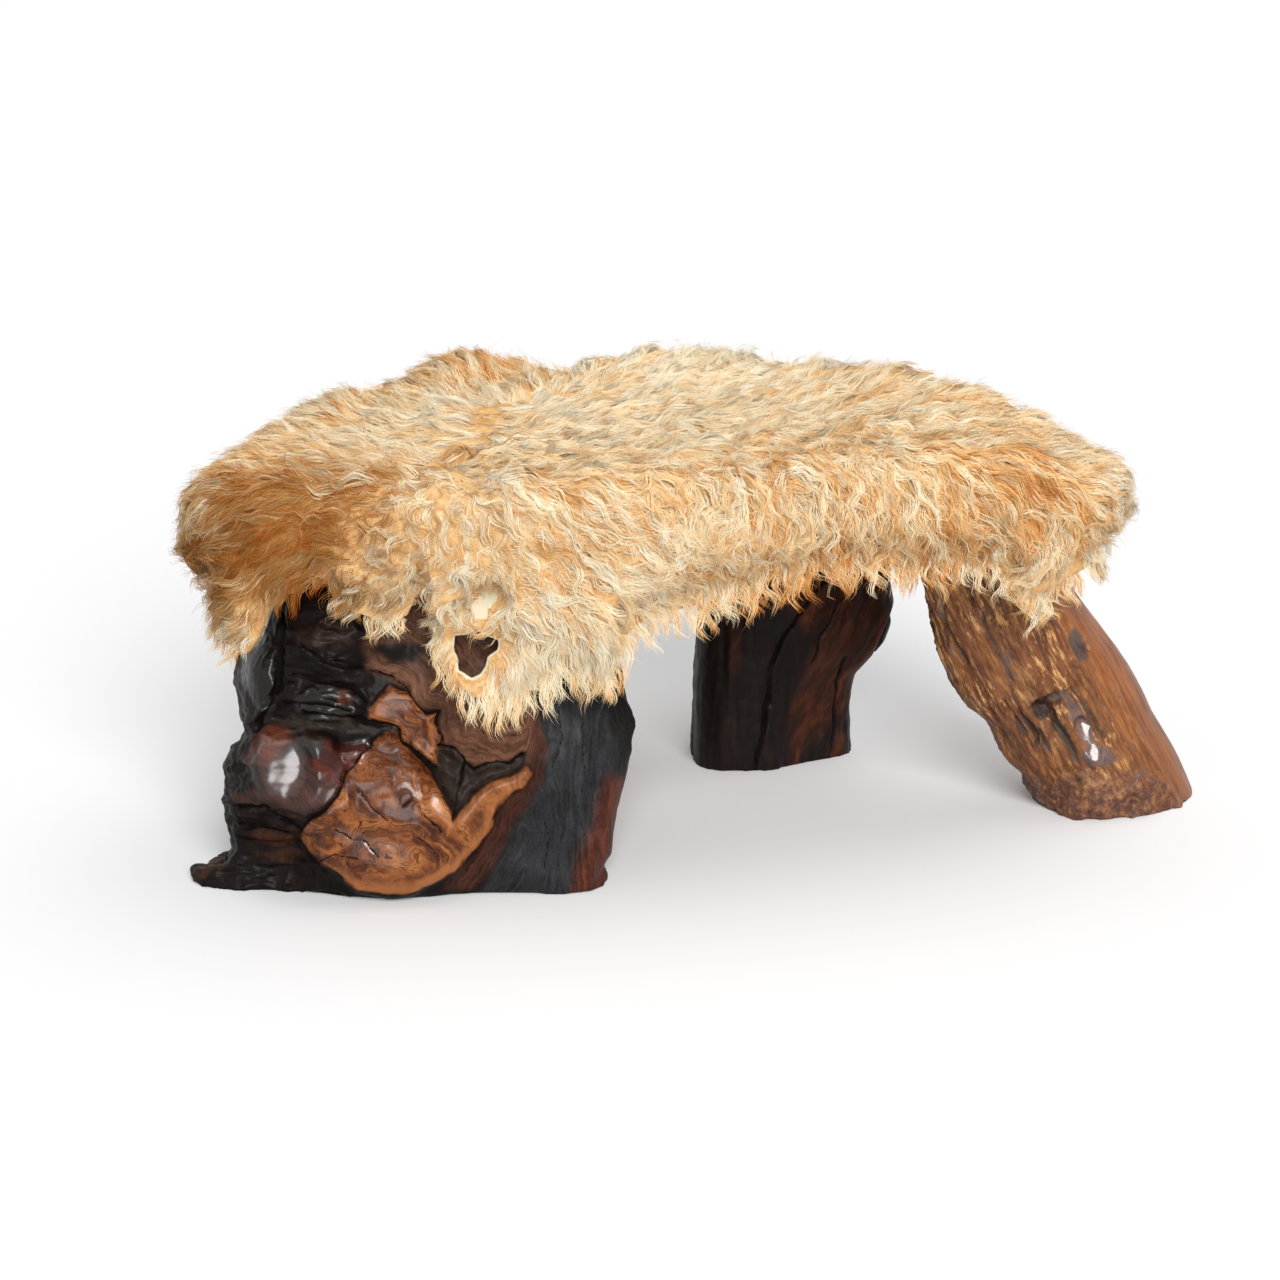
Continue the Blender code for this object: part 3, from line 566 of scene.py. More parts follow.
def burlLeg():
    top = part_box("burl_leg")[1].z
    piece = blankLeg("burlBlock", "burl_leg", 3.0 * mm, 10)

    points = rowsOf(piece.data.vertices, "co")
    front, spots = onBurlFront(points, 0.022, 1.6, 3)
    lumps = sum(lift * mm * ovalAt(spots, *oval) for *oval, lift in burl["lumps"])
    lumps *= ease(-points[:, 1], 0.03, 0.09)
    rise = burl["faceRise"] * ease(insideBy(spots, burl["face"]), -3.0, 5.0)
    rise += burl["tongueRise"] * ease(insideBy(spots, burl["tongue"]), -2.0, 4.0)
    rise -= burl["wedgeDepth"] * ease(insideBy(spots, burl["wedge"]), -1.0, 7.0)
    rise += burl["ridgeRise"] * np.exp(-((gapTo(spots, burl["ridge"]) / 6.0) ** 2))
    rough = 5.0 * fractal(points, 0.060, 21) + 4.0 * np.abs(lattice(points, (0.06, 0.06, 0.05), 5)) - 2.0
    swell(piece, lumps + rise * front + rough * mm * (1.0 - 0.9 * front), top)
    flat = 0.86 * ease(ovalAt(spots, *burl["facet"]), 0.0, 0.9) * front
    flatten(piece, spots, flat, burl["facet"][:2], burl["facetFacing"])

    evenOut(piece, burl["voxel"], 2)
    points = rowsOf(piece.data.vertices, "co")
    front, spots = onBurlFront(points, 0.010, 1.4, 13)
    elsewhere = 1.0 - front
    # crackGap leads the material's painted shade in the cracks, and in the splits on the sides
    groove, crackGap = np.zeros(len(points)), np.full(len(points), 9.0)
    widths = 1.0 + 0.55 * fractal(points, 0.012, 43, 2)
    for width, depth, *route in burl["cracks"]:
        gap = gapTo(spots, route) / (width * np.maximum(widths, 0.35))
        groove = np.maximum(groove, depth * mm * np.clip(1.0 - gap / 2.2, 0.0, 1.0) ** 1.5 * front)
        crackGap = np.minimum(crackGap, gap + 9.0 * elsewhere)
    splits = np.abs(lattice(points, (0.09, 0.09, 0.22), 41)) / 0.025 + 3.0 * ease(lattice(points, 0.07, 47), -0.2, 0.3)
    groove += elsewhere * 3.0 * mm * np.clip(1.0 - splits, 0.0, 1.0)
    crackGap = np.minimum(crackGap, splits * 1.6 + 9.0 * front)

    inFace, inTongue = insideBy(spots, burl["face"]), insideBy(spots, burl["tongue"])
    figure = ease(np.maximum(inFace, inTongue), -1.0, 1.4) * front
    knob = ease(ovalAt(spots, *burl["knob"]), 0.0, 0.2) * front
    dome = ease(ovalAt(spots, *burl["dome"]), 0.0, 0.5)
    charred = (1.0 - figure) * (1.0 - knob) * (1.0 - 0.7 * dome) * ease(-spots[:, 0], 255.0, 290.0)
    folds = 1.0 - np.abs(fractal(points, (0.030, 0.030, 0.013), 33, 3))
    fine = 3.8 * (folds - 0.6) * (charred * front + 0.8 * elsewhere) + 0.5 * fractal(points, 0.014, 51) * (1.0 - knob)
    fine += 0.4 * lattice(points, (0.004, 0.004, 0.05), 61) * (1.0 - figure) * (1.0 - knob)
    fine += 0.35 * fractal(points, (0.034, 0.034, 0.008), 63, 2) * knob
    flow = grainFlow(spots, points, inFace, inTongue)
    layered = np.column_stack([flow * mm, 0.2 * points[:, 0], 0.2 * points[:, 2]])
    fine += 0.9 * lattice(layered, 0.007, 85) * figure * ease(inFace, 2.0, 10.0)
    swell(piece, fine * mm - groove, top)

    gloss = np.zeros(len(points))
    blurred = spots + 3.0 * np.stack([fractal(points, 0.016, 101), fractal(points, 0.016, 107)], axis=1)
    for x, z, halfWidth, halfHeight, tilt, share in burl["shiny"]:
        gloss = np.maximum(gloss, share * ease(ovalAt(blurred, x, z, halfWidth, halfHeight, tilt), 0.0, 0.35))
    clouds = fractal(points, 0.05, 71)
    rim = (1.0 - ease(inFace + 3.0 * clouds, 5.0, 12.0)) * ease(0.6 * spots[:, 0] - spots[:, 1], -210.0, -150.0)
    stain = piece.data.attributes.new("stain", "FLOAT_COLOR", "POINT")
    stain.data.foreach_set("color", burlStain(spots, points, front).astype(np.float32).ravel())
    keepMark(piece, "figure", np.maximum(figure, elsewhere * 0.7 * ease(fractal(points, 0.085, 71), 0.40, 0.70)))
    keepMark(piece, "plainRim", rim)
    keepMark(piece, "flow", flow)
    keepMark(piece, "gloss", gloss * front)
    keepMark(piece, "crackGap", crackGap)
    dressed(piece, "burl_leg", burlMaterial())
    print("burl leg:", len(piece.data.vertices), "points")
    return piece


burlLeg()


# back leg: an upright block, nearly black, with a split front

backLeg = {
    "voxel": 1.9 * mm,
    # width, depth, then the route on its front
    "cracks": (
        (2.2, 6, (118, 178), (92, 146), (78, 124), (68, 98), (64, 60), (56, 20), (54, 0)),
        (1.6, 3, (160, 186), (140, 162), (128, 150), (112, 122), (104, 98)),
        (2.2, 4, (136, 96), (128, 60), (127, 20), (126, 0)),
    ),
    "frontBefore": 0.150,
}


def backLegMaterial():
    paint = Paint("darkWood")
    place = paint.place()
    red, crack = paint.mark("red"), paint.mark("crack")
    upright = paint.vector("MULTIPLY", paint.warped(place, 10.0, 0.03), (1.0, 1.0, 0.08))
    leaning = paint.node("VectorRotate", {"rotation_type": "Y_AXIS"}, {"Vector": place, "Angle": math.radians(-32.0)})
    leaning = paint.vector("MULTIPLY", paint.warped(leaning, 12.0, 0.03), (1.0, 1.0, 0.10))
    grain = paint.noise(upright, 170.0, 4.0, 0.6)
    streak = paint.noise(leaning, 85.0, 4.0, 0.6)
    dark = paint.ramp(grain, (0.25, tone(12, 9, 8)), (0.55, tone(25, 17, 14)), (0.8, tone(42, 26, 20)))
    warm = paint.ramp(streak, (0.25, tone(26, 13, 9)), (0.5, tone(52, 27, 17)), (0.66, tone(84, 44, 25)),
                      (0.85, tone(112, 66, 36)))
    colour = paint.mix(red, dark, warm)
    # painted shade: near black in the cracks and splits
    colour = paint.mix(crack, colour, tone(9, 6, 5))
    return paint.surface(Base_Color=colour, Roughness=0.40 + grain * 0.2 + crack * 0.3,
                         Normal=paint.bump(grain + streak * 0.5, 0.4, 0.6 * mm),
                         Coat_Weight=0.05 - crack * 0.05, Coat_Roughness=0.16, Specular_IOR_Level=0.10)


def darkLeg():
    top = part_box("back_leg")[1].z
    piece = blankLeg("darkUpright", "back_leg", backLeg["voxel"], 8)
    points = rowsOf(piece.data.vertices, "co")
    front = 1.0 - ease(points[:, 1], backLeg["frontBefore"] - 0.02, backLeg["frontBefore"])
    wander = np.stack([fractal(points, (0.014, 0.014, 0.03), 103), fractal(points, 0.02, 109)], axis=1)
    spots = points[:, [0, 2]] / mm + 2.5 * wander
    groove = np.zeros(len(points))
    shade = np.zeros(len(points))
    for width, depth, *route in backLeg["cracks"]:
        gap = gapTo(spots, route)
        groove = np.maximum(groove, depth * mm * np.clip(1.0 - gap / width, 0.0, 1.0) * front)
        # painted shade: the wood darkens near each crack, and along the splits on the sides
        shade = np.maximum(shade, (1.0 - ease(gap, 0.3 * width, 0.9 * width)) * front)
    splits = ease(np.abs(lattice(points, (0.045, 0.045, 0.20), 121)), 0.0, 0.04)
    groove += (1.0 - front) * 3.0 * mm * (1.0 - splits)
    shade = np.maximum(shade, (1.0 - front) * (1.0 - splits))
    leaning = points.copy()
    leaning[:, 0] -= 0.62 * (points[:, 2] - 0.05) * ease(points[:, 0], 0.05, 0.11)  # the grain turns with the flare
    flutes = fractal(leaning, (0.024, 0.024, 0.14), 131, 2)
    fine = 1.8 * flutes + 0.7 * lattice(leaning, (0.005, 0.005, 0.06), 141) + 0.9 * fractal(points, 0.018, 151)
    swell(piece, fine * mm - groove, top)
    clouds = fractal(leaning, (0.035, 0.05, 0.12), 161)
    red = ease(clouds + 1.1 * ease(points[:, 0], 0.055, 0.12) * front - 0.45, -0.1, 0.65)
    keepMark(piece, "red", red)
    keepMark(piece, "crack", shade)
    dressed(piece, "back_leg", backLegMaterial())
    print("back leg:", len(piece.data.vertices), "points")
    return piece


darkLeg()


# right leg: a splayed half-log with a rough split front and a sawn right side

rightLeg = {
    "voxel": 1.7 * mm,
    "lean": 28.0,  # degrees from upright, of the log and its grain
    # x, height, half width, half height, tilt, depth
    "pits": (
        (328, 152, 9, 18, 20, 5),
        (301, 108, 22, 6, 24, 6),
        (296, 98, 10, 8, 20, 5),
        (311, 84, 5, 30, 28, 6),
        (318, 70, 4, 24, 30, 6),
        (286, 78, 3, 22, 26, 4),
        (297, 70, 3, 18, 30, 4),
        (276, 84, 3, 14, 24, 3),
    ),
    "wet": (330, 84, 8, 34, 26),
    "pool": (347, 57, 22, 11, -12),
    "facet": (336, 70, 12, 28, 24),
    "facetFacing": (0.15, 0.46),
    "lumps": (
        (324, 6, 14, 12, 0, 6),
        (345, 22, 34, 26, -10, 6),
        (386, 26, 16, 14, 0, 4),
    ),
    "cracks": (
        (2.6, 6, (196, 250), (202, 205), (214, 165), (228, 140)),
        (1.4, 3, (322, 118), (340, 92), (352, 72)),
        (1.6, 3, (262, 130), (276, 100), (290, 74)),
        (1.4, 2, (240, 186), (254, 150), (268, 126)),
    ),
    "frontBefore": 0.012,
}


def rightLegMaterial():
    paint = Paint("goldenWood")
    place = paint.place()
    smooth, knot, wet, foot = paint.mark("sawn"), paint.mark("knot"), paint.mark("wet"), paint.mark("foot")
    turn = {"Vector": place, "Angle": math.radians(rightLeg["lean"])}
    along = paint.node("VectorRotate", {"rotation_type": "Y_AXIS"}, turn)
    along = paint.vector("MULTIPLY", paint.warped(along, 11.0, 0.014), (1.0, 1.0, 0.055))
    fibre = paint.noise(along, 330.0, 4.0, 0.65)
    band = paint.noise(along, 60.0, 3.0, 0.55)
    blotch = paint.noise(place, 26.0, 4.0, 0.6)
    split = paint.ramp(fibre * 0.50 + band * 0.30 + blotch * 0.30 - 0.05,
                       (0.26, tone(50, 27, 17)), (0.44, tone(94, 55, 33)), (0.55, tone(128, 80, 46)),
                       (0.65, tone(166, 111, 63)), (0.80, tone(206, 152, 96)))
    chip = paint.noise(paint.vector("MULTIPLY", along, (1.0, 1.0, 5.0)), 190.0, 5.0, 0.72)
    golden = chip.rise(0.50, 0.64) * (0.25 + paint.noise(place, 19.0, 2.0).rise(0.40, 0.56) * 0.75)
    split = paint.mix(golden, split, tone(212, 160, 102))
    split = paint.mix((1.0 - chip.rise(0.30, 0.45)) * 0.8, split, tone(46, 26, 17))
    sawn = paint.ramp(fibre * 0.45 + band * 0.45 + blotch * 0.2 - 0.05, (0.30, tone(74, 38, 19)),
                      (0.46, tone(120, 68, 33)), (0.58, tone(152, 92, 47)), (0.74, tone(180, 118, 66)))
    crumb = paint.noise(place, 130.0, 5.0, 0.7)
    rough = paint.ramp(crumb, (0.3, tone(58, 36, 28)), (0.5, tone(104, 68, 52)), (0.68, tone(168, 118, 74)))
    colour = paint.mix(smooth, split, sawn)
    colour = paint.mix(foot, colour, rough)
    colour = paint.mix(wet * 0.8, colour, paint.mix(crumb.rise(0.35, 0.65), tone(48, 26, 20), tone(98, 58, 48)))
    # darker in the pits, and painted shade along the cracks
    colour = paint.mix(knot * 0.85, colour, paint.mix(blotch.rise(0.35, 0.6), tone(26, 17, 13), tone(72, 70, 68)))
    roughness = 0.58 - smooth * 0.22 - wet * 0.38 + fibre * 0.15 - 0.07
    height = (fibre + chip) * (1.0 - smooth * 0.8) + band * 0.4 + crumb * foot * 1.4
    return paint.surface(Base_Color=colour, Roughness=roughness, Normal=paint.bump(height, 0.8, 1.3 * mm),
                         Coat_Weight=0.05 + wet * 0.95, Coat_Roughness=0.12, Coat_IOR=1.7, Specular_IOR_Level=0.22)


def splitLeg():
    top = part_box("right_leg")[1].z
    piece = blankLeg("splayedHalfLog", "right_leg", rightLeg["voxel"], 7)
    points = rowsOf(piece.data.vertices, "co")
    spots = points[:, [0, 2]] / mm
    flat = ease(ovalAt(spots, *rightLeg["facet"]), 0.0, 0.7) * (points[:, 1] < 0.0)
    flatten(piece, spots, flat, rightLeg["facet"][:2], rightLeg["facetFacing"])
    points, normals = rowsOf(piece.data.vertices, "co"), rowsOf(piece.data.vertex_normals, "vector")
    lean = math.tan(math.radians(rightLeg["lean"]))
    along = points.copy()
    along[:, 0] += lean * points[:, 2]
    front = 1.0 - ease(points[:, 1], rightLeg["frontBefore"] - 0.02, rightLeg["frontBefore"])
    sawn = ease(normals[:, 0] + 0.5 * normals[:, 2] + 0.12 * fractal(along, (0.02, 0.02, 0.08), 207), 0.62, 0.84)
    spots = points[:, [0, 2]] / mm + 2.0 * np.stack([fractal(points, 0.016, 203), fractal(points, 0.016, 209)], axis=1)
    foot = (1.0 - ease(points[:, 2] + 0.012 * fractal(points, 0.02, 211), 0.022, 0.046)) * (1.0 - sawn)
    knot = np.zeros(len(points))
    rise = np.zeros(len(points))
    for x, z, halfWidth, halfHeight, tilt, depth in rightLeg["pits"]:
        oval = ovalAt(spots, x, z, halfWidth, halfHeight, tilt) * front
        rise -= depth * mm * oval**0.8
        knot = np.maximum(knot, ease(oval, 0.1, 0.6))
    for x, z, halfWidth, halfHeight, tilt, lift in rightLeg["lumps"]:
        rise += lift * mm * ovalAt(spots, x, z, halfWidth, halfHeight, tilt) * front
    wet = np.maximum(ovalAt(spots, *rightLeg["wet"]), ovalAt(spots, *rightLeg["pool"]))
    wet = ease(wet + 0.3 * fractal(points, 0.012, 213), 0.1, 0.5) * front
    for width, depth, *route in rightLeg["cracks"]:
        gap = gapTo(spots, route)
        rise -= depth * mm * np.clip(1.0 - gap / width, 0.0, 1.0) * front
        # painted shade along each crack
        knot = np.maximum(knot, (1.0 - ease(gap, 0.3 * width, width)) * front)
    grain = 3.2 * fractal(along, (0.016, 0.016, 0.11), 221, 2) + 1.3 * lattice(along, (0.0045, 0.0045, 0.045), 231)
    chips = 2.4 * ease(fractal(along, (0.012, 0.012, 0.03), 241), 0.1, 0.5) + 1.4 * fractal(along, (0.005, 0.005, 0.016), 243)
    lumps = 2.6 * fractal(points, 0.014, 251) + 1.2 * fractal(points, 0.006, 261)
    fine = (grain - chips) * (1.0 - 0.85 * sawn) * (1.0 - 0.7 * foot) * (1.0 - 0.75 * wet) + lumps * foot
    swell(piece, rise + fine * mm, top)
    keepMark(piece, "sawn", sawn)
    keepMark(piece, "knot", knot * (1.0 - wet))
    keepMark(piece, "wet", wet)
    keepMark(piece, "foot", foot)
    dressed(piece, "right_leg", rightLegMaterial())
    print("right leg:", len(piece.data.vertices), "points")
    return piece


splitLeg()


# hidden pieces that stay as the frame gives them, with finished materials

hidden = {
    "slab_wood": ("seat_slab",),
    "dowel_wood": ("dowel",),
    "zinc_steel": ("lag_screw", "lag_washer"),
    "tack_brass": ("hide_tack",),
}


def planedMaterial(name, dark, pale, stretch):
    paint = Paint(name)
    place = paint.vector("MULTIPLY", paint.warped(paint.place(), 6.0, 0.04), stretch)
    rings = (paint.noise(place, 24.0, 2.0) * 9.0).folded()
    fibre = paint.noise(place, 260.0, 4.0, 0.6)
    colour = paint.mix(rings * 0.6 + fibre * 0.4, dark, pale)
    return paint.surface(Base_Color=colour, Roughness=0.55 + fibre * 0.2, Normal=paint.bump(fibre, 0.3, 0.3 * mm))


def metalMaterial(name, dull, bright, roughness):
    paint = Paint(name)
    place = paint.place()
    scuff = paint.noise(place, 420.0, 5.0, 0.65)
    stain = paint.noise(place, 70.0, 3.0)
    colour = paint.mix(scuff * 0.5 + stain * 0.5, dull, bright)
    return paint.surface(Base_Color=colour, Metallic=1.0, Roughness=roughness + scuff * 0.25,
                         Normal=paint.bump(scuff, 0.2, 0.1 * mm))


def dressHidden():
    finishes = {
        "slab_wood": planedMaterial("slabWood", tone(120, 80, 48), tone(186, 142, 98), (0.08, 1.0, 1.0)),
        "dowel_wood": planedMaterial("dowelWood", tone(176, 138, 96), tone(222, 192, 150), (1.0, 1.0, 0.08)),
        "zinc_steel": metalMaterial("zincSteel", tone(150, 152, 156), tone(208, 210, 214), 0.30),
        "tack_brass": metalMaterial("tackBrass", tone(142, 110, 60), tone(206, 172, 104), 0.34),
    }
    for slot, stems in hidden.items():
        for name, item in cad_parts.items():
            if any(stem in name for stem in stems):
                item.data.materials.clear()
                item.data.materials.append(finishes[slot])
    print("hidden pieces:", len(finishes), "finishes")


dressHidden()


# sheepskin: the hide lies over the slab and hangs round its edge, and the wool stands on it

hide = {
    "columns": 640,
    "topRows": 30,
    "roundRows": 6,
    "sideRows": 30,
    "thickness": 2.4 * mm,
    "clearance": 1.8 * mm,
    "edgeRound": 13 * mm,
    "flare": 6 * mm,
    "folds": 17,
    "foldDepth": 5 * mm,
    "hemUp": 26 * mm,  # of the hide's edge over the fleece's lowest wool, at the back
    # x and height of the hide's edge along the front
    "frontHem": (
        (-0.430, 0.236), (-0.412, 0.238), (-0.400, 0.242), (-0.389, 0.238), (-0.377, 0.220), (-0.366, 0.200),
        (-0.356, 0.194), (-0.348, 0.210), (-0.340, 0.244), (-0.322, 0.250), (-0.304, 0.266),
        (-0.290, 0.258), (-0.277, 0.238), (-0.250, 0.228), (-0.234, 0.236), (-0.226, 0.256), (-0.218, 0.250),
        (-0.211, 0.208), (-0.201, 0.190), (-0.192, 0.178), (-0.182, 0.170), (-0.168, 0.168), (-0.155, 0.172),
        (-0.135, 0.184), (-0.114, 0.193), (-0.097, 0.190), (-0.085, 0.180), (-0.072, 0.212), (-0.050, 0.226),
        (0.000, 0.234), (0.050, 0.248), (0.110, 0.256), (0.150, 0.254), (0.170, 0.246),
        (0.190, 0.245), (0.215, 0.244), (0.238, 0.244), (0.252, 0.230), (0.264, 0.211), (0.280, 0.212),
        (0.294, 0.226), (0.315, 0.232), (0.340, 0.228), (0.360, 0.224),
    ),
    # the hole beside the front flap, and the bare patch over it: x and height in millimetres
    "hole": ((-197, 220), (-188, 221), (-180, 224), (-169, 218), (-162, 215), (-163, 208), (-171, 203), (-173, 195),
             (-177, 189), (-184, 186), (-191, 191), (-195, 193), (-194, 202), (-198, 209)),
    "bare": (-175, 243, 10, 18, -30),
    "flatSize": (0.88, 0.58),
    "flatArea": 0.38,
}

undercoat = {
    "topDepth": 34 * mm,
    "sideDepth": 27 * mm,
    "hemDepth": 6 * mm,
    "hemTaper": 45 * mm,
    "endFull": 0.85,  # how much shorter that taper is at the left end
    "tuftSize": 22 * mm,
    "tuftRise": 5.5 * mm,
    # x, y, reach, rise of the wool's lie on top
    "lumps": (
        (-0.004, 0.190, 0.050, 0.018),
        (-0.205, 0.175, 0.036, 0.018),
        (-0.072, 0.180, 0.030, 0.010),
        (-0.105, 0.150, 0.070, -0.003),
        (-0.425, -0.050, 0.090, -0.024),
        (0.360, 0.000, 0.085, -0.034),
        (0.140, 0.150, 0.036, 0.008),
        (0.185, 0.020, 0.090, 0.006),
    ),
}


def wound(values, count, soften):  # a closed run of values, read at more places and softened
    places = np.arange(count) * len(values) / count
    rows = np.vstack([values, values[:1]])
    fine = np.stack([np.interp(places, np.arange(len(rows)), column) for column in rows.T], axis=1)
    offsets = np.arange(-3 * soften, 3 * soften + 1)
    weights = np.exp(-0.5 * (offsets / soften) ** 2)
    return sum(weight * np.roll(fine, -offset, axis=0) for offset, weight in zip(offsets, weights / weights.sum()))


def hideGrid():  # places on the hide by column round the seat and row from its middle to the hem
    low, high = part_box("seat_slab")
    slab = rowsOf(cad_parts["seat_slab"].data.vertices, "co")
    skin = rowsOf(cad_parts["sheepskin"].data.vertices, "co")
    widest = slab[np.abs(slab[:, 2] - high.z + 10 * mm) < 0.1 * mm][:, :2]
    middle = widest.mean(axis=0)
    widest = np.unique(widest.round(5), axis=0)
    widest = widest[np.argsort(np.arctan2(*(widest - middle).T[::-1]))]
    near = np.linalg.norm(skin[None, :, :2] - widest[:, None], axis=2) < 34 * mm
    lowest = np.where(near, skin[None, :, 2], np.inf).min(axis=1)
    edge = wound(np.column_stack([widest, lowest]), hide["columns"], 6)
    along = unit(np.roll(edge[:, :2], -1, axis=0) - np.roll(edge[:, :2], 1, axis=0))
    out = np.stack([along[:, 1], -along[:, 0]], axis=1)

    inFront = ease(-out[:, 1], -0.6, 0.0)
    hem = np.interp(edge[:, 0], *np.array(hide["frontHem"]).T) * inFront
    hem += (edge[:, 2] + hide["hemUp"]) * (1.0 - inFront)
    top = high.z + hide["clearance"]
    turn = hide["edgeRound"]
    shares = np.linspace(0.0, 1.0, hide["topRows"], endpoint=False)[1:, None]
    inset = edge[:, :2] - out * (turn - hide["clearance"])
    rows = [np.column_stack([middle + (inset - middle) * share, np.full(len(edge), top)]) for share in shares]
    for angle in np.linspace(0.0, math.pi / 2, hide["roundRows"]):
        flat = inset + out * turn * math.sin(angle)
        rows.append(np.column_stack([flat, np.full(len(edge), top - turn * (1.0 - math.cos(angle)))]))
    waves = hide["foldDepth"] * (1.0 + np.sin(np.arange(len(edge)) * 2 * math.pi * hide["folds"] / len(edge)))
    for share in np.linspace(0.0, 1.0, hide["sideRows"] + 1)[1:]:
        height = (top - turn) + (hem - top + turn) * share
        loose = ease(low.z - height, 0.0, 0.05)
        flat = inset + out * (turn + loose * (hide["flare"] + waves))[:, None]
        rows.append(np.column_stack([flat, height]))
    grid = np.array(rows)  # row, column, xyz
    normals = np.cross(np.roll(grid, -1, axis=1) - np.roll(grid, 1, axis=1), np.gradient(grid, axis=0))
    return grid, unit(-normals)


def gridFaces(rows, columns):
    first = np.arange(rows - 1)[:, None] * columns
    here, after = np.arange(columns)[None], (np.arange(columns)[None] + 1) % columns
    return np.stack([first + here, first + columns + here, first + columns + after, first + after], axis=-1).reshape(-1, 4)


def onFront(spots):
    return spots[:, 1] < -0.12


def openHole(grid):  # the grid's faces without those in the hole; points round it move onto its outline
    spots = grid.reshape(-1, 3)
    quads = gridFaces(*grid.shape[:2])
    inside = (insideBy(spots[:, [0, 2]] / mm, hide["hole"]) > 0.0) & onFront(spots)
    gone = inside[quads].sum(axis=1) >= 2
    rim = np.intersect1d(quads[gone], quads[~gone])
    ring = np.array([*hide["hole"], hide["hole"][0]]) * mm
    fine = np.concatenate([np.linspace(start, end, 24, endpoint=False) for start, end in zip(ring, ring[1:])])
    gaps = np.linalg.norm(spots[rim][:, None, [0, 2]] - fine[None], axis=2)
    spots[np.ix_(rim, [0, 2])] = fine[gaps.argmin(axis=1)]
    return quads[~gone]


def shellPiece(name, outer, inner, faces, material):  # a closed piece between two like-numbered layers
    count = len(outer)
    edges = [part[:, [side, (side + 1) % part.shape[1]]] for part in faces for side in range(part.shape[1])]
    edges = np.concatenate(edges)
    _, first, uses = np.unique(np.sort(edges, axis=1) @ [count, 1], return_index=True, return_counts=True)
    rim = edges[first[uses == 1]]
    walls = np.column_stack([rim[:, 1], rim[:, 0], rim[:, 0] + count, rim[:, 1] + count])
    both = faces + [part[:, ::-1] + count for part in faces] + [walls]
    return meshPiece(name, np.concatenate([outer, inner]), both, material)


def layeredPiece(name, outer, inner, quads, material):  # two grids and the cap in their middle, as one shell
    rows, columns = outer.shape[:2]
    here = np.arange(columns)
    cap = np.column_stack([np.full(columns, rows * columns), here, (here + 1) % columns])
    layers = [np.vstack([layer.reshape(-1, 3), layer[0].mean(axis=0)]) for layer in (outer, inner)]
    piece = shellPiece(name, *layers, [quads, cap], material)
    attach(piece, "root")
    print(name + ":", len(piece.data.polygons), "faces")
    return piece


def hideMaterial():
    paint = Paint("bareHide")
    place = paint.place()
    stain, pores = paint.noise(place, 38.0, 4.0, 0.6), paint.noise(place, 620.0, 2.0, 0.5)
    colour = paint.mix(stain.rise(0.35, 0.7), tone(216, 206, 178), tone(200, 203, 179))
    colour = paint.mix(pores.rise(0.5, 0.8) * 0.25, colour, tone(206, 184, 142))
    return paint.surface(Base_Color=colour, Roughness=0.5 + pores * 0.2, Normal=paint.bump(pores + stain, 0.35, 0.4 * mm))


def undercoatMaterial():
    paint = Paint("woolUndercoat")
    place = paint.place()
    tuft = paint.noise(paint.warped(place, 60.0, 0.02), 120.0, 5.0, 0.65)
    cloud = paint.noise(place, 14.0, 3.0)
    # painted shade: the colour darkens and warms in the tufts' hollows, which the bump also lowers, and the undercoat
    # is coloured darker and warmer than the locks as painted shade in the gaps between them
    colour = paint.ramp(tuft * 0.7 + cloud * 0.3, (0.25, tone(172, 116, 62)), (0.45, tone(208, 160, 104)),
                        (0.6, tone(232, 194, 140)), (0.8, tone(246, 218, 172)))
    colour = paint.mix(paint.mark("warm"), colour, paint.mix(tuft, tone(132, 74, 32), tone(206, 134, 66)))
    return paint.surface(Base_Color=colour, Roughness=0.9, Specular_IOR_Level=0.02, Normal=paint.bump(tuft, 1.0, 3 * mm))


def layHide(grid, normals, quads):
    half = hide["thickness"] / 2 * normals
    piece = layeredPiece("bareHide", grid + half, grid - half, quads, hideMaterial())
    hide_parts("sheepskin")
    return piece


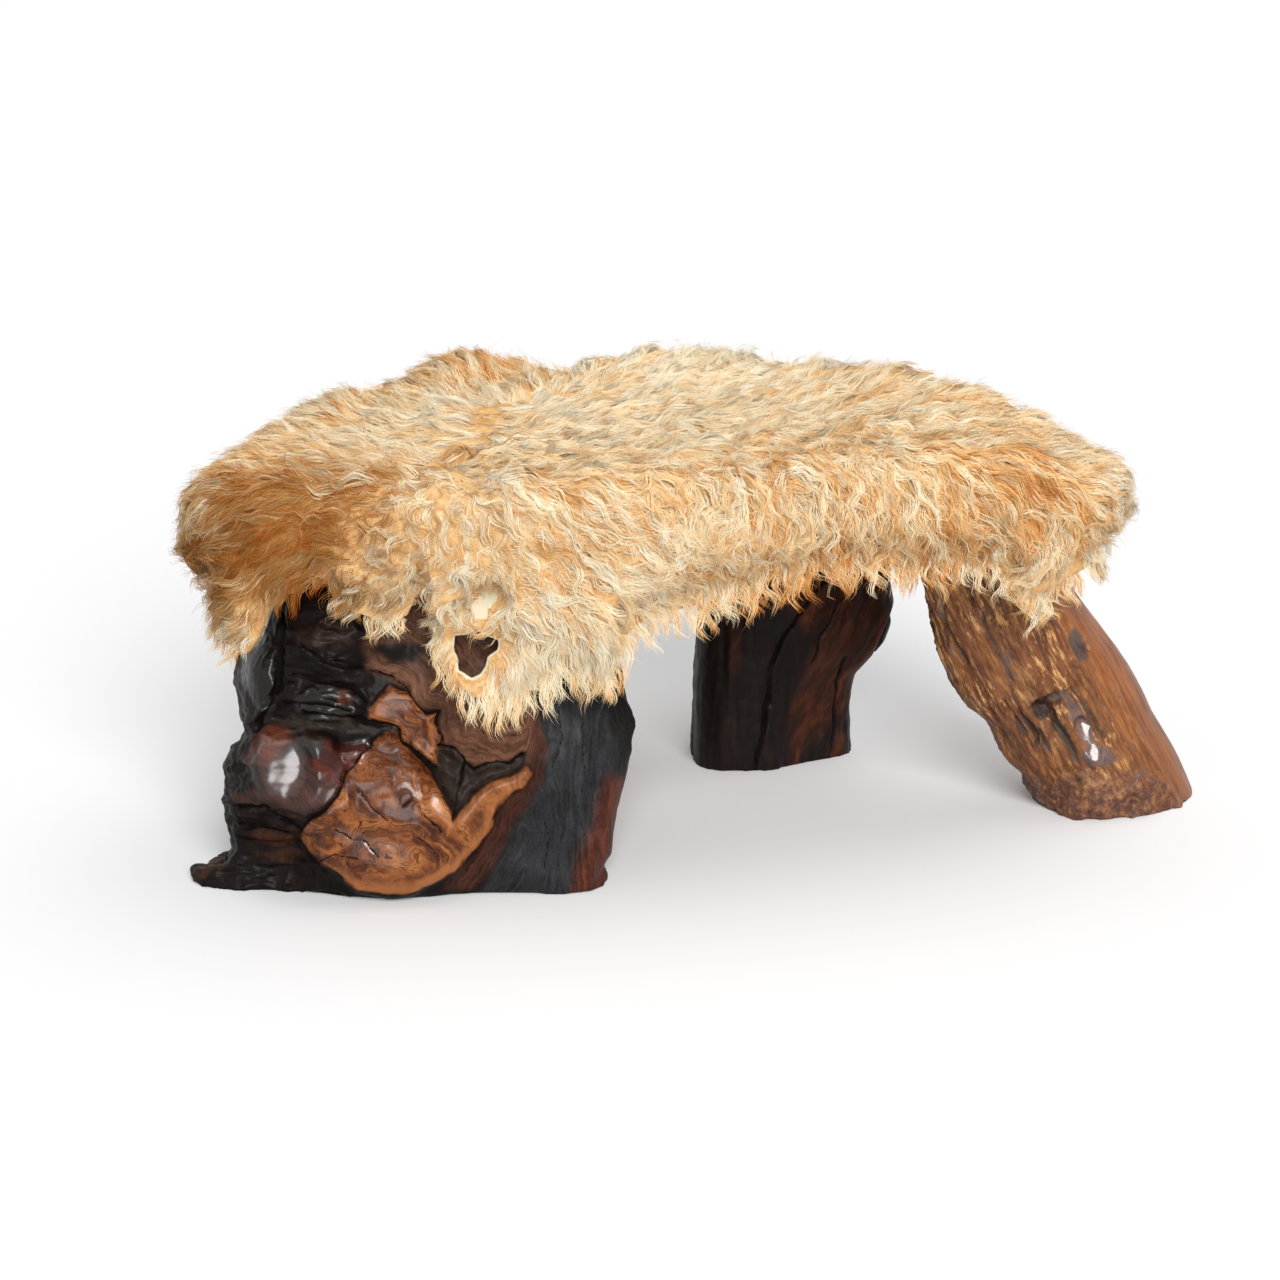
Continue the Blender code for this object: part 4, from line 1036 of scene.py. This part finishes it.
def layUndercoat(grid, normals, quads):  # the dense short wool; its outer face also guides the comb
    rows, columns = grid.shape[:2]
    runs = np.linalg.norm(np.diff(grid, axis=0), axis=2)
    toHem = np.vstack([np.cumsum(runs[::-1], axis=0)[::-1], np.zeros(columns)])
    onTop = ease(normals[:, :, 2], 0.2, 0.9)
    depth = undercoat["sideDepth"] + (undercoat["topDepth"] - undercoat["sideDepth"]) * onTop
    for x, y, reach, lift in undercoat["lumps"]:
        near = ((grid[:, :, 0] - x) ** 2 + (grid[:, :, 1] - y) ** 2) / (2.0 * reach**2)
        depth += lift * np.exp(-near) * (0.1 + 0.9 * onTop)
    spots = grid.reshape(-1, 3)
    tufts = fractal(spots, undercoat["tuftSize"], 301).reshape(rows, columns)
    depth = np.maximum(depth, undercoat["hemDepth"]) + undercoat["tuftRise"] * tufts
    taper = undercoat["hemTaper"] * (1.0 - undercoat["endFull"] * ease(-grid[:, :, 0], 0.37, 0.41))
    depth = undercoat["hemDepth"] + (depth - undercoat["hemDepth"]) * ease(toHem, 0.0, taper)
    flat = spots[:, [0, 2]] / mm + 4.0 * np.stack([fractal(spots, 0.02, 311), fractal(spots, 0.02, 317)], axis=1)
    x, z, halfWidth, halfHeight, tilt = hide["bare"]
    toHole = insideBy(spots[:, [0, 2]] / mm, hide["hole"])
    ragged = toHole + 2.0 * fractal(spots, 0.008, 313)
    rim, bare = ease(ragged, -3.0, -0.5), ease(ovalAt(flat, *hide["bare"]), 0.0, 0.4)
    around = ease(ovalAt(flat, x, z, halfWidth + 12, halfHeight + 12, tilt), 0.0, 0.8)
    thin = np.maximum(ease(toHole, -22.0, -3.0), around)
    over = ease(insideBy(spots[:, [0, 2]] / mm - [0.0, 13.0], hide["hole"]), -5.0, 0.0)  # locks there would hang across it
    rim, bare, thin, over = [(part * onFront(spots)).reshape(rows, columns) for part in (rim, bare, thin, over)]
    bald = np.maximum(rim, bare)
    depth *= 1.0 - 0.88 * thin
    skin = hide["thickness"] / 2
    outer = grid + normals * (skin * (1.0 - 0.7 * bald) + np.maximum(depth, mm) * (1.0 - bald))[:, :, None]
    piece = layeredPiece("woolUndercoat", outer, grid, quads, undercoatMaterial())
    keepMark(piece, "warm", np.clip(3.0 * regional(rowsOf(piece.data.vertices, "co"), 2), 0.0, 0.9))
    growth = (1.0 + 3.0 * thin * (1.0 - bare)) * (rim < 0.3) * (1.0 - 0.85 * bare) * (1.0 - over)
    return piece, outer, growth, toHem


wool = {
    "bands": 6,
    "shadeTint": (0.45, 0.275, 0.13, 1.0),  # what the darkest strands keep of their colour, also under the painted shade at roots and low locks
    # painted shade at the roots: how much of its brightness a strand keeps at its root, as if the locks over it shaded
    # it
    "rootPaintedShade": 0.50,
    # tint, and the colour that it gives a strand's body and its tip
    "tints": (
        (0.00, (255, 245, 220), (255, 238, 202)),
        (0.30, (255, 234, 194), (251, 205, 138)),
        (0.60, (251, 209, 148), (228, 150, 70)),
        (1.00, (228, 164, 96), (196, 112, 44)),
    ),
    "baseTint": 0.27,
    "lowLockShadeTint": 0.42,  # painted shade: how much warmer and darker the lowest locks are made than the highest, as if the locks over them shaded them
    "lowLockPaintedShade": 0.34,
    "mapWidth": 0.003,
    "soften": 0.55,  # how far a strand's shading follows the fleece under it
    "skirt": (15 * mm, 35 * mm, 60 * mm, 95 * mm),  # how far below the hem the hanging locks are still combed
    "hemFall": 0.7,
    # place, direction and reach of each stroke of the comb
    "comb": (
        (-0.400, -0.130, 0.280, -1.0, -0.2, -0.35, 0.05), (-0.360, -0.190, 0.300, -1.0, -0.3, -0.25, 0.05),
        (-0.390, -0.060, 0.320, -1.0, 0.1, 0.0, 0.05), (-0.330, -0.225, 0.270, -0.9, -0.2, -0.40, 0.04),
        (-0.300, -0.100, 0.350, -1.0, -0.15, 0.0, 0.05), (-0.250, 0.000, 0.352, -1.0, 0.2, 0.0, 0.05),
        (-0.280, 0.090, 0.345, -0.9, 0.45, 0.0, 0.05), (-0.290, -0.215, 0.310, -1.0, -0.1, -0.30, 0.05),
        (-0.235, -0.060, 0.352, -1.0, -0.3, 0.0, 0.04), (-0.130, 0.000, 0.354, 1.0, -0.15, 0.0, 0.05),
        (-0.120, -0.120, 0.350, 0.9, -0.45, -0.1, 0.05), (-0.050, 0.060, 0.354, 1.0, 0.0, 0.0, 0.05),
        (0.060, 0.040, 0.356, 1.0, -0.05, 0.0, 0.05), (0.000, -0.060, 0.354, 1.0, -0.35, 0.0, 0.05),
        (0.000, -0.130, 0.345, 0.9, -0.5, -0.2, 0.04), (-0.020, -0.185, 0.300, 0.90, -0.2, -0.45, 0.05),
        (0.040, -0.165, 0.290, 0.75, -0.1, -0.7, 0.05), (-0.120, -0.220, 0.310, 1.0, -0.2, -0.3, 0.04),
        (-0.070, -0.215, 0.270, 1.0, -0.1, -0.35, 0.04),
        (-0.210, -0.225, 0.300, 0.1, -0.3, -1.0, 0.04), (-0.262, -0.230, 0.245, -0.25, -0.1, -1.0, 0.03),
        (-0.155, -0.225, 0.245, 0.65, -0.1, -0.75, 0.025), (-0.140, -0.225, 0.205, 0.0, -0.05, -1.0, 0.03),
        (-0.085, -0.215, 0.225, 0.50, 0.0, -0.85, 0.03), (0.100, -0.140, 0.320, 0.3, -0.3, -0.9, 0.05),
        (0.150, -0.130, 0.290, 0.2, -0.1, -1.0, 0.05), (0.200, -0.115, 0.330, 0.6, -0.4, -0.5, 0.04),
        (0.240, -0.090, 0.335, 0.85, -0.35, -0.4, 0.04), (0.260, -0.095, 0.290, 0.7, -0.2, -0.7, 0.04),
        (0.340, -0.040, 0.310, 1.0, 0.0, -0.15, 0.05), (0.340, -0.070, 0.270, 0.9, -0.2, -0.4, 0.04),
        (0.300, -0.100, 0.250, 0.2, -0.2, -1.0, 0.03), (0.270, -0.100, 0.215, 0.05, -0.1, -1.0, 0.03),
        (0.300, 0.060, 0.320, 0.8, 0.5, -0.3, 0.05), (0.150, 0.050, 0.356, 1.0, -0.1, 0.0, 0.05),
        (0.240, 0.020, 0.350, 1.0, 0.0, -0.1, 0.05), (0.000, 0.220, 0.300, 0.4, 0.3, -0.9, 0.06),
        (-0.200, 0.200, 0.300, -0.3, 0.3, -0.9, 0.06), (0.150, 0.200, 0.300, 0.5, 0.3, -0.8, 0.06),
        (-0.330, 0.100, 0.290, -0.7, 0.5, -0.5, 0.06), (0.000, 0.170, 0.355, 0.5, 0.85, 0.0, 0.05),
        (-0.190, 0.160, 0.355, -0.6, 0.8, 0.2, 0.05), (0.120, 0.150, 0.355, 0.8, 0.6, 0.0, 0.05),
    ),
    # place and reach, then how much longer, curlier, redder and brighter the wool is there; at the left end the lower
    # brightness is partly the wool's darker tone and partly painted shade on the side turned from the light
    "regions": (
        (-0.300, -0.215, 0.300, 0.060, 0.0, 0.0, 0.14, -0.90), (-0.345, -0.190, 0.270, 0.050, 0.0, 0.0, 0.14, -0.36),
        (-0.330, -0.100, 0.345, 0.060, 0.0, 0.0, 0.18, -0.05), (-0.415, -0.120, 0.270, 0.045, 0.0, 0.0, 0.16, -0.45),
        (-0.190, 0.170, 0.350, 0.040, 0.3, 0.0, 0.50, -0.10), (-0.080, 0.080, 0.355, 0.110, 0.0, 0.0, -0.16, 0.15),
        (-0.120, -0.222, 0.205, 0.045, 0.5, 0.2, -0.22, 0.32), (-0.262, -0.228, 0.240, 0.040, 0.0, 0.8, -0.22, 0.30),
        (-0.222, -0.224, 0.300, 0.050, -0.4, 1.6, -0.06, 0.0), (0.250, -0.090, 0.300, 0.045, 0.0, 0.0, 0.32, -0.10),
        (0.080, -0.150, 0.255, 0.070, 0.0, 0.4, 0.26, -0.10), (0.268, -0.100, 0.215, 0.040, 0.1, 2.6, -0.12, 0.05),
        (0.010, 0.190, 0.355, 0.060, 0.0, 1.6, -0.12, 0.10), (0.000, -0.180, 0.290, 0.060, 0.2, 1.0, -0.06, 0.10),
        (0.120, -0.130, 0.310, 0.070, 0.2, 0.8, 0.00, 0.05), (-0.362, -0.190, 0.205, 0.030, 0.0, 0.4, -0.30, 0.30),
        (-0.178, -0.226, 0.256, 0.022, -0.5, 1.0, -0.10, 0.15), (0.345, -0.060, 0.280, 0.060, 0.0, 0.0, -0.05, 0.20),
    ),
    "pieces": {
        "woolLocks": {"seed": 11, "locks": 7000, "strands": 13, "steps": 7, "length": 46 * mm, "radius": 5.4 * mm,
                      "thick": 0.32 * mm, "height": (3 * mm, 15 * mm), "wave": 2.7 * mm, "waveLength": 29 * mm,
                      "turn": 21.0, "tip": 0.28},
        "strayWool": {"seed": 23, "locks": 4200, "strands": 2, "steps": 7, "length": 42 * mm, "radius": 3.0 * mm,
                      "thick": 0.26 * mm, "height": (10 * mm, 24 * mm), "wave": 3.0 * mm, "waveLength": 24 * mm,
                      "turn": 38.0, "tip": 0.8},
    },
}


def woolMaterial():  # colour from each strand's own map: across, bands of brightness that hold a tint; up, root to tip
    paint = Paint("combedWool")
    spot = {"Vector": paint.node("UVMap", {"uv_map": "OFBake"})}
    across = paint.node("SeparateXYZ", None, spot, out="X") * wool["bands"]
    up = paint.node("SeparateXYZ", None, spot, out="Y")
    band = across.maths("FLOOR", across)
    tint = (across - band - 0.1) / 0.8
    body = paint.ramp(tint, *[(place, tone(*shade)) for place, shade, _ in wool["tints"]])
    tip = paint.ramp(tint, *[(place, tone(*shade)) for place, _, shade in wool["tints"]])
    # each strand's band sets its brightness, and it darkens further towards its root as painted shade
    level = band / (wool["bands"] - 1) * (wool["rootPaintedShade"] + up.rise(0.0, 0.5) * (1.0 - wool["rootPaintedShade"]))
    shade = paint.mix(level, wool["shadeTint"], (1.0, 1.0, 1.0, 1.0))
    colour = paint.mix(1.0, paint.mix(up.rise(0.35, 1.0), body, tip), shade, "MULTIPLY")
    return paint.surface(Base_Color=colour, Roughness=0.6, Specular_IOR_Level=0.02)


def nearestOn(tree, spots):
    found = [tree.find_nearest(spot)[:2] for spot in spots]
    return np.array([place for place, _ in found]), np.array([normal for _, normal in found])


def combed(spots, ups):
    total = np.zeros_like(spots)
    for *place, dx, dy, dz, reach in wool["comb"]:
        weight = np.exp(-((spots - place) ** 2).sum(axis=1) / (2.0 * reach**2)) + 1e-6
        total += weight[:, None] * unit(np.array([dx, dy, dz]))
    return unit(total - ups * (total * ups).sum(axis=1, keepdims=True))


def regional(spots, column):
    total = np.zeros(len(spots))
    for *place, reach, longer, curlier, redder, brighter in wool["regions"]:
        near = np.exp(-((spots - place) ** 2).sum(axis=1) / (2.0 * reach**2))
        total += near * (longer, curlier, redder, brighter)[column]
    return total


def scatterRoots(outer, growth, toHem, count, chance):  # by area and growth
    quads = gridFaces(*outer.shape[:2])
    flat = outer.reshape(-1, 3)
    first, second, third, fourth = (flat[quads[:, side]] for side in range(4))
    area = np.linalg.norm(np.cross(third - first, fourth - second), axis=1)
    area = np.cumsum(area * growth.ravel()[quads].min(axis=1))
    picks = np.searchsorted(area, (np.arange(count) + chance.random(count)) / count * area[-1])
    picks = np.minimum(picks, len(quads) - 1)
    across, down = chance.random((2, count, 1))
    near = first[picks] * (1.0 - across) + fourth[picks] * across
    far = second[picks] * (1.0 - across) + third[picks] * across
    return near * (1.0 - down) + far * down, toHem.ravel()[quads[picks, 0]]


def growLocks(tree, roots, toHem, look, chance):
    count, steps = len(roots), look["steps"]
    fall = wool["hemFall"] * (1.0 - ease(toHem, 8 * mm, 50 * mm))
    length = look["length"] * chance.uniform(0.78, 1.15, count) * np.maximum(1.0 + regional(roots, 0), 0.4)
    length *= 1.0 - 0.50 * fall
    stride = length / (steps - 1)
    lift = chance.random(count)
    height = look["height"][0] + lift * (look["height"][1] - look["height"][0])
    turn = np.radians(look["turn"]) * (chance.normal(0.0, 0.7, count) + 1.1 * fractal(roots, 0.03, look["seed"]))
    turn *= 1.0 + np.maximum(regional(roots, 1), 0.0)
    _, up = nearestOn(tree, roots)
    spot = roots - up * 2.5 * mm
    heading = unit(combed(roots, up) + 0.7 * up)
    path, ups = [], []
    for share in np.linspace(0.0, 1.0, steps):
        near, up = nearestOn(tree, spot)
        along = combed(near, up)
        along = along * np.cos(turn)[:, None] + np.cross(up, along) * np.sin(turn)[:, None]
        along = along * (1.0 - fall)[:, None] - fall[:, None] * np.array([0.0, 0.0, 1.0])
        over = ((spot - near) * up).sum(axis=1)
        climb = np.clip((height * share**0.8 - 3 * mm * (1.0 - share) - over) / stride, -0.7, 0.9)
        heading = unit(heading + 1.1 * unit(along + up * climb[:, None]))
        path.append(spot)
        ups.append(up)
        spot = spot + heading * stride[:, None]
    return np.array(path).transpose(1, 0, 2), np.array(ups).transpose(1, 0, 2), length, lift


def slideAlong(rows, at):  # reads each lock's row of points at fractional steps
    lower = np.minimum(at.astype(int), rows.shape[1] - 2)
    part = (at - lower)[..., None]
    lock = np.arange(len(rows))[:, None, None]
    return rows[lock, lower] * (1.0 - part) + rows[lock, lower + 1] * part


def strandCentres(path, ups, length, look, chance):  # the middle line of each strand, and its two cross directions
    locks, steps = path.shape[:2]
    share = np.linspace(0.0, 1.0, steps)
    along = unit(np.gradient(path, axis=1))
    side = unit(np.cross(along, ups))
    over = np.cross(side, along)
    shape = (locks, look["strands"], 1)
    cut = chance.uniform(0.74, 1.0, shape) * share  # where each strand's points lie along its lock
    at = cut * (steps - 1)
    angle, reach = chance.random((2, *shape))
    reach = look["radius"] * np.sqrt(reach)
    gather = look["tip"] + (1.0 - look["tip"]) * (1.0 - cut) ** 0.8
    curl = 1.0 + regional(path[:, 0], 1)[:, None, None]
    phase = (2.0 * lattice(path[:, 0], 0.02, look["seed"] + 5) + chance.random(locks))[:, None, None]
    wave = 2.0 * math.pi * (cut * length[:, None, None] / look["waveLength"] + phase)
    bend = look["wave"] * curl * cut**0.6
    loose = chance.normal(0.0, 1.5 * mm, (2, *shape)) * cut
    across = reach * np.cos(2.0 * math.pi * angle) * gather + bend * np.sin(wave) + loose[0]
    lift = 0.6 * reach * np.sin(2.0 * math.pi * angle) * gather + 0.5 * bend * np.cos(wave) + loose[1]
    sides, overs = slideAlong(side, at), slideAlong(over, at)
    centre = slideAlong(path, at) + sides * across[..., None] + overs * lift[..., None]
    return centre, sides, overs, slideAlong(ups, at)


def strandFaces(steps):  # one strand's faces, and the corners of its map: step across, share up
    share = np.linspace(0.0, 1.0, steps)
    last, tip = steps - 2, 3 * (steps - 1)
    quads, quadMap = [], []
    for ring in range(last):
        for corner in range(3):
            low, high = 3 * ring, 3 * ring + 3
            after = (corner + 1) % 3
            quads.append((low + corner, low + after, high + after, high + corner))
            quadMap.append(((corner, share[ring]), (corner + 1, share[ring]),
                            (corner + 1, share[ring + 1]), (corner, share[ring + 1])))
    tris, triMap = [(2, 1, 0)], [((3, 0.0), (2, 0.0), (0, 0.01))]
    for corner in range(3):
        tris.append((3 * last + corner, 3 * last + (corner + 1) % 3, tip))
        triMap.append(((corner, share[last]), (corner + 1, share[last]), (1.5, 1.0)))
    return (quads, quadMap), (tris, triMap)


def strandMesh(name, path, ups, length, lift, look, chance, material):
    locks, steps = path.shape[:2]
    count = locks * look["strands"]
    centre, sides, overs, fleeceUps = strandCentres(path, ups, length, look, chance)
    centre[..., 2] = np.minimum(centre[..., 2], wool["ceiling"])
    share = np.linspace(0.0, 1.0, steps)
    thick = look["thick"] * chance.uniform(0.75, 1.2, (locks, look["strands"], 1)) * (1.0 - 0.8 * share**2.5)
    rings, shades = [], []
    for corner in range(3):
        turned = 2.0 * math.pi * corner / 3.0
        outward = sides * math.cos(turned) - overs * math.sin(turned)
        rings.append(centre + outward * thick[..., None])
        shades.append(outward * (1.0 - wool["soften"]) + fleeceUps * wool["soften"])
    tips = [rows.reshape(count, steps, 3)[:, -1:] for rows in (centre, fleeceUps)]
    rings = [np.stack(rows, axis=3).reshape(count, steps, 3, 3)[:, :-1].reshape(count, -1, 3) for rows in (rings, shades)]
    points, shades = [np.concatenate([rows, tip], axis=1) for rows, tip in zip(rings, tips)]

    start = path[:, 0]
    eachStrand = (locks, look["strands"])
    tint = wool["baseTint"] + regional(start, 2) + 0.16 * chance.normal(size=locks) + 0.16 * fractal(start, 0.028, 401)
    # painted shade: the lowest-lying locks get a warmer tint and a lower brightness, as if shaded by the locks over
    # them
    tint += wool["lowLockShadeTint"] * (0.5 - lift)
    tint = np.clip(tint[:, None] + 0.10 * chance.normal(size=eachStrand), 0.0, 1.0).ravel()
    bright = 0.90 + regional(start, 3) + 0.20 * chance.normal(size=locks) - wool["lowLockPaintedShade"] * (0.5 - lift)
    bright = np.clip(bright[:, None] + 0.13 * chance.normal(size=eachStrand), 0.0, 0.999).ravel()
    column = (np.floor(bright * wool["bands"]) + 0.1 + 0.8 * tint) / wool["bands"]

    base = np.arange(count)[:, None, None] * points.shape[1]
    faces, maps = [], []
    for part, partMap in strandFaces(steps):
        faces.append((base + np.array(part)).reshape(-1, len(part[0])))
        flat = np.array(partMap).reshape(-1, 2)
        across = column[:, None] + (flat[:, 0] / 3.0 - 0.5) * wool["mapWidth"]
        maps.append(np.stack([across, np.broadcast_to(0.01 + 0.98 * flat[:, 1], across.shape)], axis=2).reshape(-1, 2))
    piece = meshPiece(name, points.reshape(-1, 3), faces, material)
    piece.data.uv_layers.new(name="OFBake").data.foreach_set("uv", np.concatenate(maps).astype(np.float32).ravel())
    shading = piece.data.attributes.new("custom_normal", "FLOAT_VECTOR", "POINT")
    shading.data.foreach_set("vector", unit(shades).astype(np.float32).ravel())
    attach(piece, "root")
    print(name + ":", count, "strands")
    return piece


def sheepskin():
    grid, normals = hideGrid()
    quads = openHole(grid)
    bareHide = layHide(grid, normals, quads)
    coat, outer, growth, toHem = layUndercoat(grid, normals, quads)
    skirts = [outer[-1] - [0.0, 0.0, drop] for drop in wool["skirt"]]
    guide = np.concatenate([outer, np.array(skirts)])
    tree = BVHTree.FromPolygons(guide.reshape(-1, 3).tolist(), gridFaces(*guide.shape[:2]).tolist())
    material = woolMaterial()
    wool["ceiling"] = cadBox[1].z + 17 * mm
    for name, look in wool["pieces"].items():
        chance = np.random.default_rng(look["seed"])
        count = look["locks"] // 1
        roots, rootToHem = scatterRoots(outer, growth, toHem, count, chance)
        grown = growLocks(tree, roots, rootToHem, look, chance)
        strandMesh(name, *grown, look, chance, material)


sheepskin()
